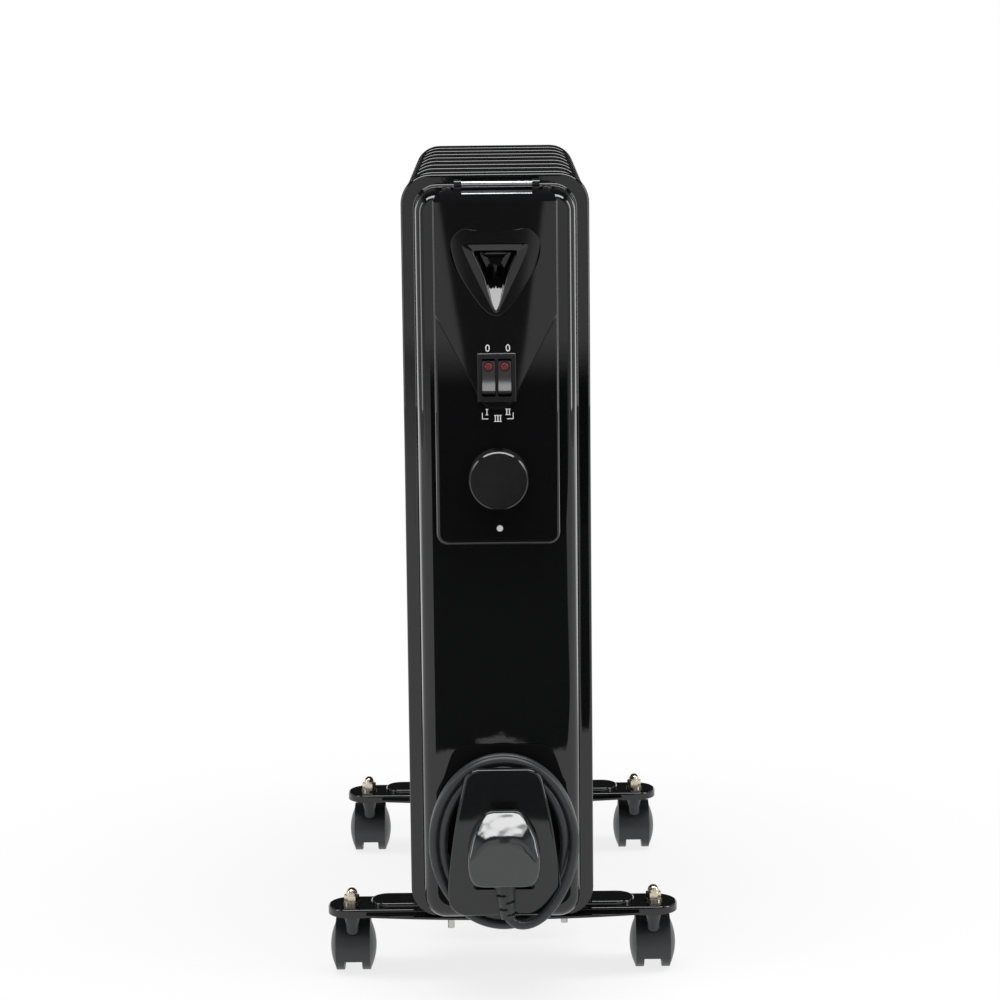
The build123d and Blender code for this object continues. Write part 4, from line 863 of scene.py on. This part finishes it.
# ---------------------------------------------------------------- studio
# The camera sees a pale floor that runs out to white. Gloss shows something else: white paper with
# ragged edges on dark cloth, and pale flats at the sides, in front and at the back's two corners.
def build_floor(shape):
    bmesh.ops.create_grid(shape, x_segments=24, y_segments=24, size=2.6,
                          matrix=Matrix.Translation((0, 0.6, 0)))


floor = mesh_piece("floor", build_floor)
floor_paper = Finish("floor_paper", {"Roughness": 0.7, "Specular IOR Level": 0.2})
fibres = cloud(floor_paper, 160.0, 3.0)
floor_paper.wear({
    "Base Color": tint(floor_paper, fibres, (0.83, 0.83, 0.825), (0.8, 0.8, 0.795)),
    "Normal": bumps(floor_paper, fibres, 0.00002),
})


def greatest(finish, first, *others):
    for other in others:
        first = finish.node("ShaderNodeMath", {"operation": "MAXIMUM"}, {0: first, 1: other})
    return first


def ray_is(finish, kind):
    return finish.node("ShaderNodeLightPath", {}, {}, f"Is {kind} Ray")


across_floor = part_of_place(floor_paper, "X")
along_floor = part_of_place(floor_paper, "Y")
sideways = unsigned(floor_paper, across_floor)
ragged = 0.12 * cloud(floor_paper, 30.0, 8.0, 0.75)
slanted_paper = ramp(
    floor_paper, along_floor - 1.9 * sideways + ragged, -0.915, -0.895, 0.05, 0.95)
front_paper = ramp(floor_paper, along_floor + ragged, -0.845, -0.825, 0.0, 0.95)
left_paper = ramp(floor_paper, along_floor * 0.038 - across_floor, 0.0275, 0.0295, 0.0, 0.95)
side_paper = ramp(floor_paper, sideways, 0.55, 0.8, 0.0, 0.8)
back_corners = (ramp(floor_paper, sideways, 0.25, 0.45)
                * ramp(floor_paper, along_floor, 0.3, 0.6, 0.0, 2.0))
lit = greatest(floor_paper, slanted_paper, side_paper, left_paper, front_paper, back_corners)
ground = floor_paper.node(
    "ShaderNodeVectorMath", {"operation": "LENGTH"}, {0: place_on(floor_paper)}, "Value")
far_off = ramp(floor_paper, ground, 0.15, 0.6, 0.8, 1.0)
seen = ray_is(floor_paper, "Camera")
gleamed = greatest(floor_paper, ray_is(floor_paper, "Glossy"), ray_is(floor_paper, "Transmission"))
white_paper = floor_paper.node("ShaderNodeEmission", {}, {
    "Color": (1, 1, 1), "Strength": greatest(floor_paper, seen, lit)})
paper_mix = floor_paper.node("ShaderNodeMixShader", {}, {
    0: greatest(floor_paper, seen * far_off, gleamed),
    1: Value(floor_paper, floor_paper.shader.outputs[0]), 2: white_paper})
floor_paper.fill(floor_paper.tree.nodes["Material Output"], {"Surface": paper_mix})
floor.data.materials.append(floor_paper.material)


class Room(Finish):
    """The world's own nodes, filled in the same way as a finish."""

    def __init__(self):
        self.world = bpy.data.worlds.new("room")
        self.world.use_nodes = True
        self.tree = self.world.node_tree
        self.shader = self.tree.nodes["Background"]


room = Room()
bpy.context.scene.world = room.world
towards = room.node("ShaderNodeTexCoord", {}, {}, "Generated")
rightwards, backwards, upwards = (
    room.node("ShaderNodeSeparateXYZ", {}, {"Vector": towards}, axis) for axis in "XYZ")
off_middle = unsigned(room, rightwards + 0.0018)
in_front = ramp(room, backwards, -0.6, -0.75)
front_flats = (ramp(room, off_middle - 0.147 * upwards, 0.0247, 0.0261, 0.06, 0.72)
               * ramp(room, upwards, -0.135, -0.115) * in_front)
left_flat = (ramp(room, rightwards, -0.0262, -0.0275)
             * ramp(room, upwards, -0.1, -0.18, 0.3, 0.95) * in_front)
side_flats = ramp(room, off_middle, 0.5, 0.8, 0.0, 0.55) * ramp(room, upwards, 0.75, 0.4)
back_flats = (ramp(room, off_middle, 0.16, 0.3) * ramp(room, backwards, 0.5, 0.8)
              * ramp(room, upwards, 0.3, 0.15) * 1.8)
dark_corners = 0.02
in_gloss = greatest(room, front_flats, side_flats, back_flats, left_flat, dark_corners)
soft_light = 0.35
unseen = room.node("ShaderNodeMix", {}, {0: ray_is(room, "Glossy"), 2: soft_light, 3: in_gloss})
room.wear({"Color": (1, 1, 1), "Strength": room.node("ShaderNodeMix", {}, {
    0: ray_is(room, "Camera"), 2: unseen, 3: 1.0})})


def softbox(name, place, target, width, height, power):
    light = bpy.data.lights.new(name, "AREA")
    light.shape = "RECTANGLE"
    light.size = width
    light.size_y = height
    light.energy = power
    lamp = bpy.data.objects.new(name, light)
    bpy.context.collection.objects.link(lamp)
    aim = (Vector(target) - Vector(place)).to_track_quat("-Z", "Y")
    lamp.matrix_world = Matrix.Translation(place) @ aim.to_matrix().to_4x4()


softbox("overhead_softbox", (0.0, -0.7, 2.1), (0, 0, 0.3), 2.6, 0.6, 50.0)
softbox("right_softbox", (1.5, -0.5, 0.8), (0, -0.1, 0.3), 0.35, 1.3, 9.0)
softbox("left_softbox", (-1.5, -0.5, 0.8), (0, -0.1, 0.3), 0.35, 1.3, 5.0)

bpy.context.scene.view_settings.view_transform = "Standard"
bpy.context.view_layer.update()
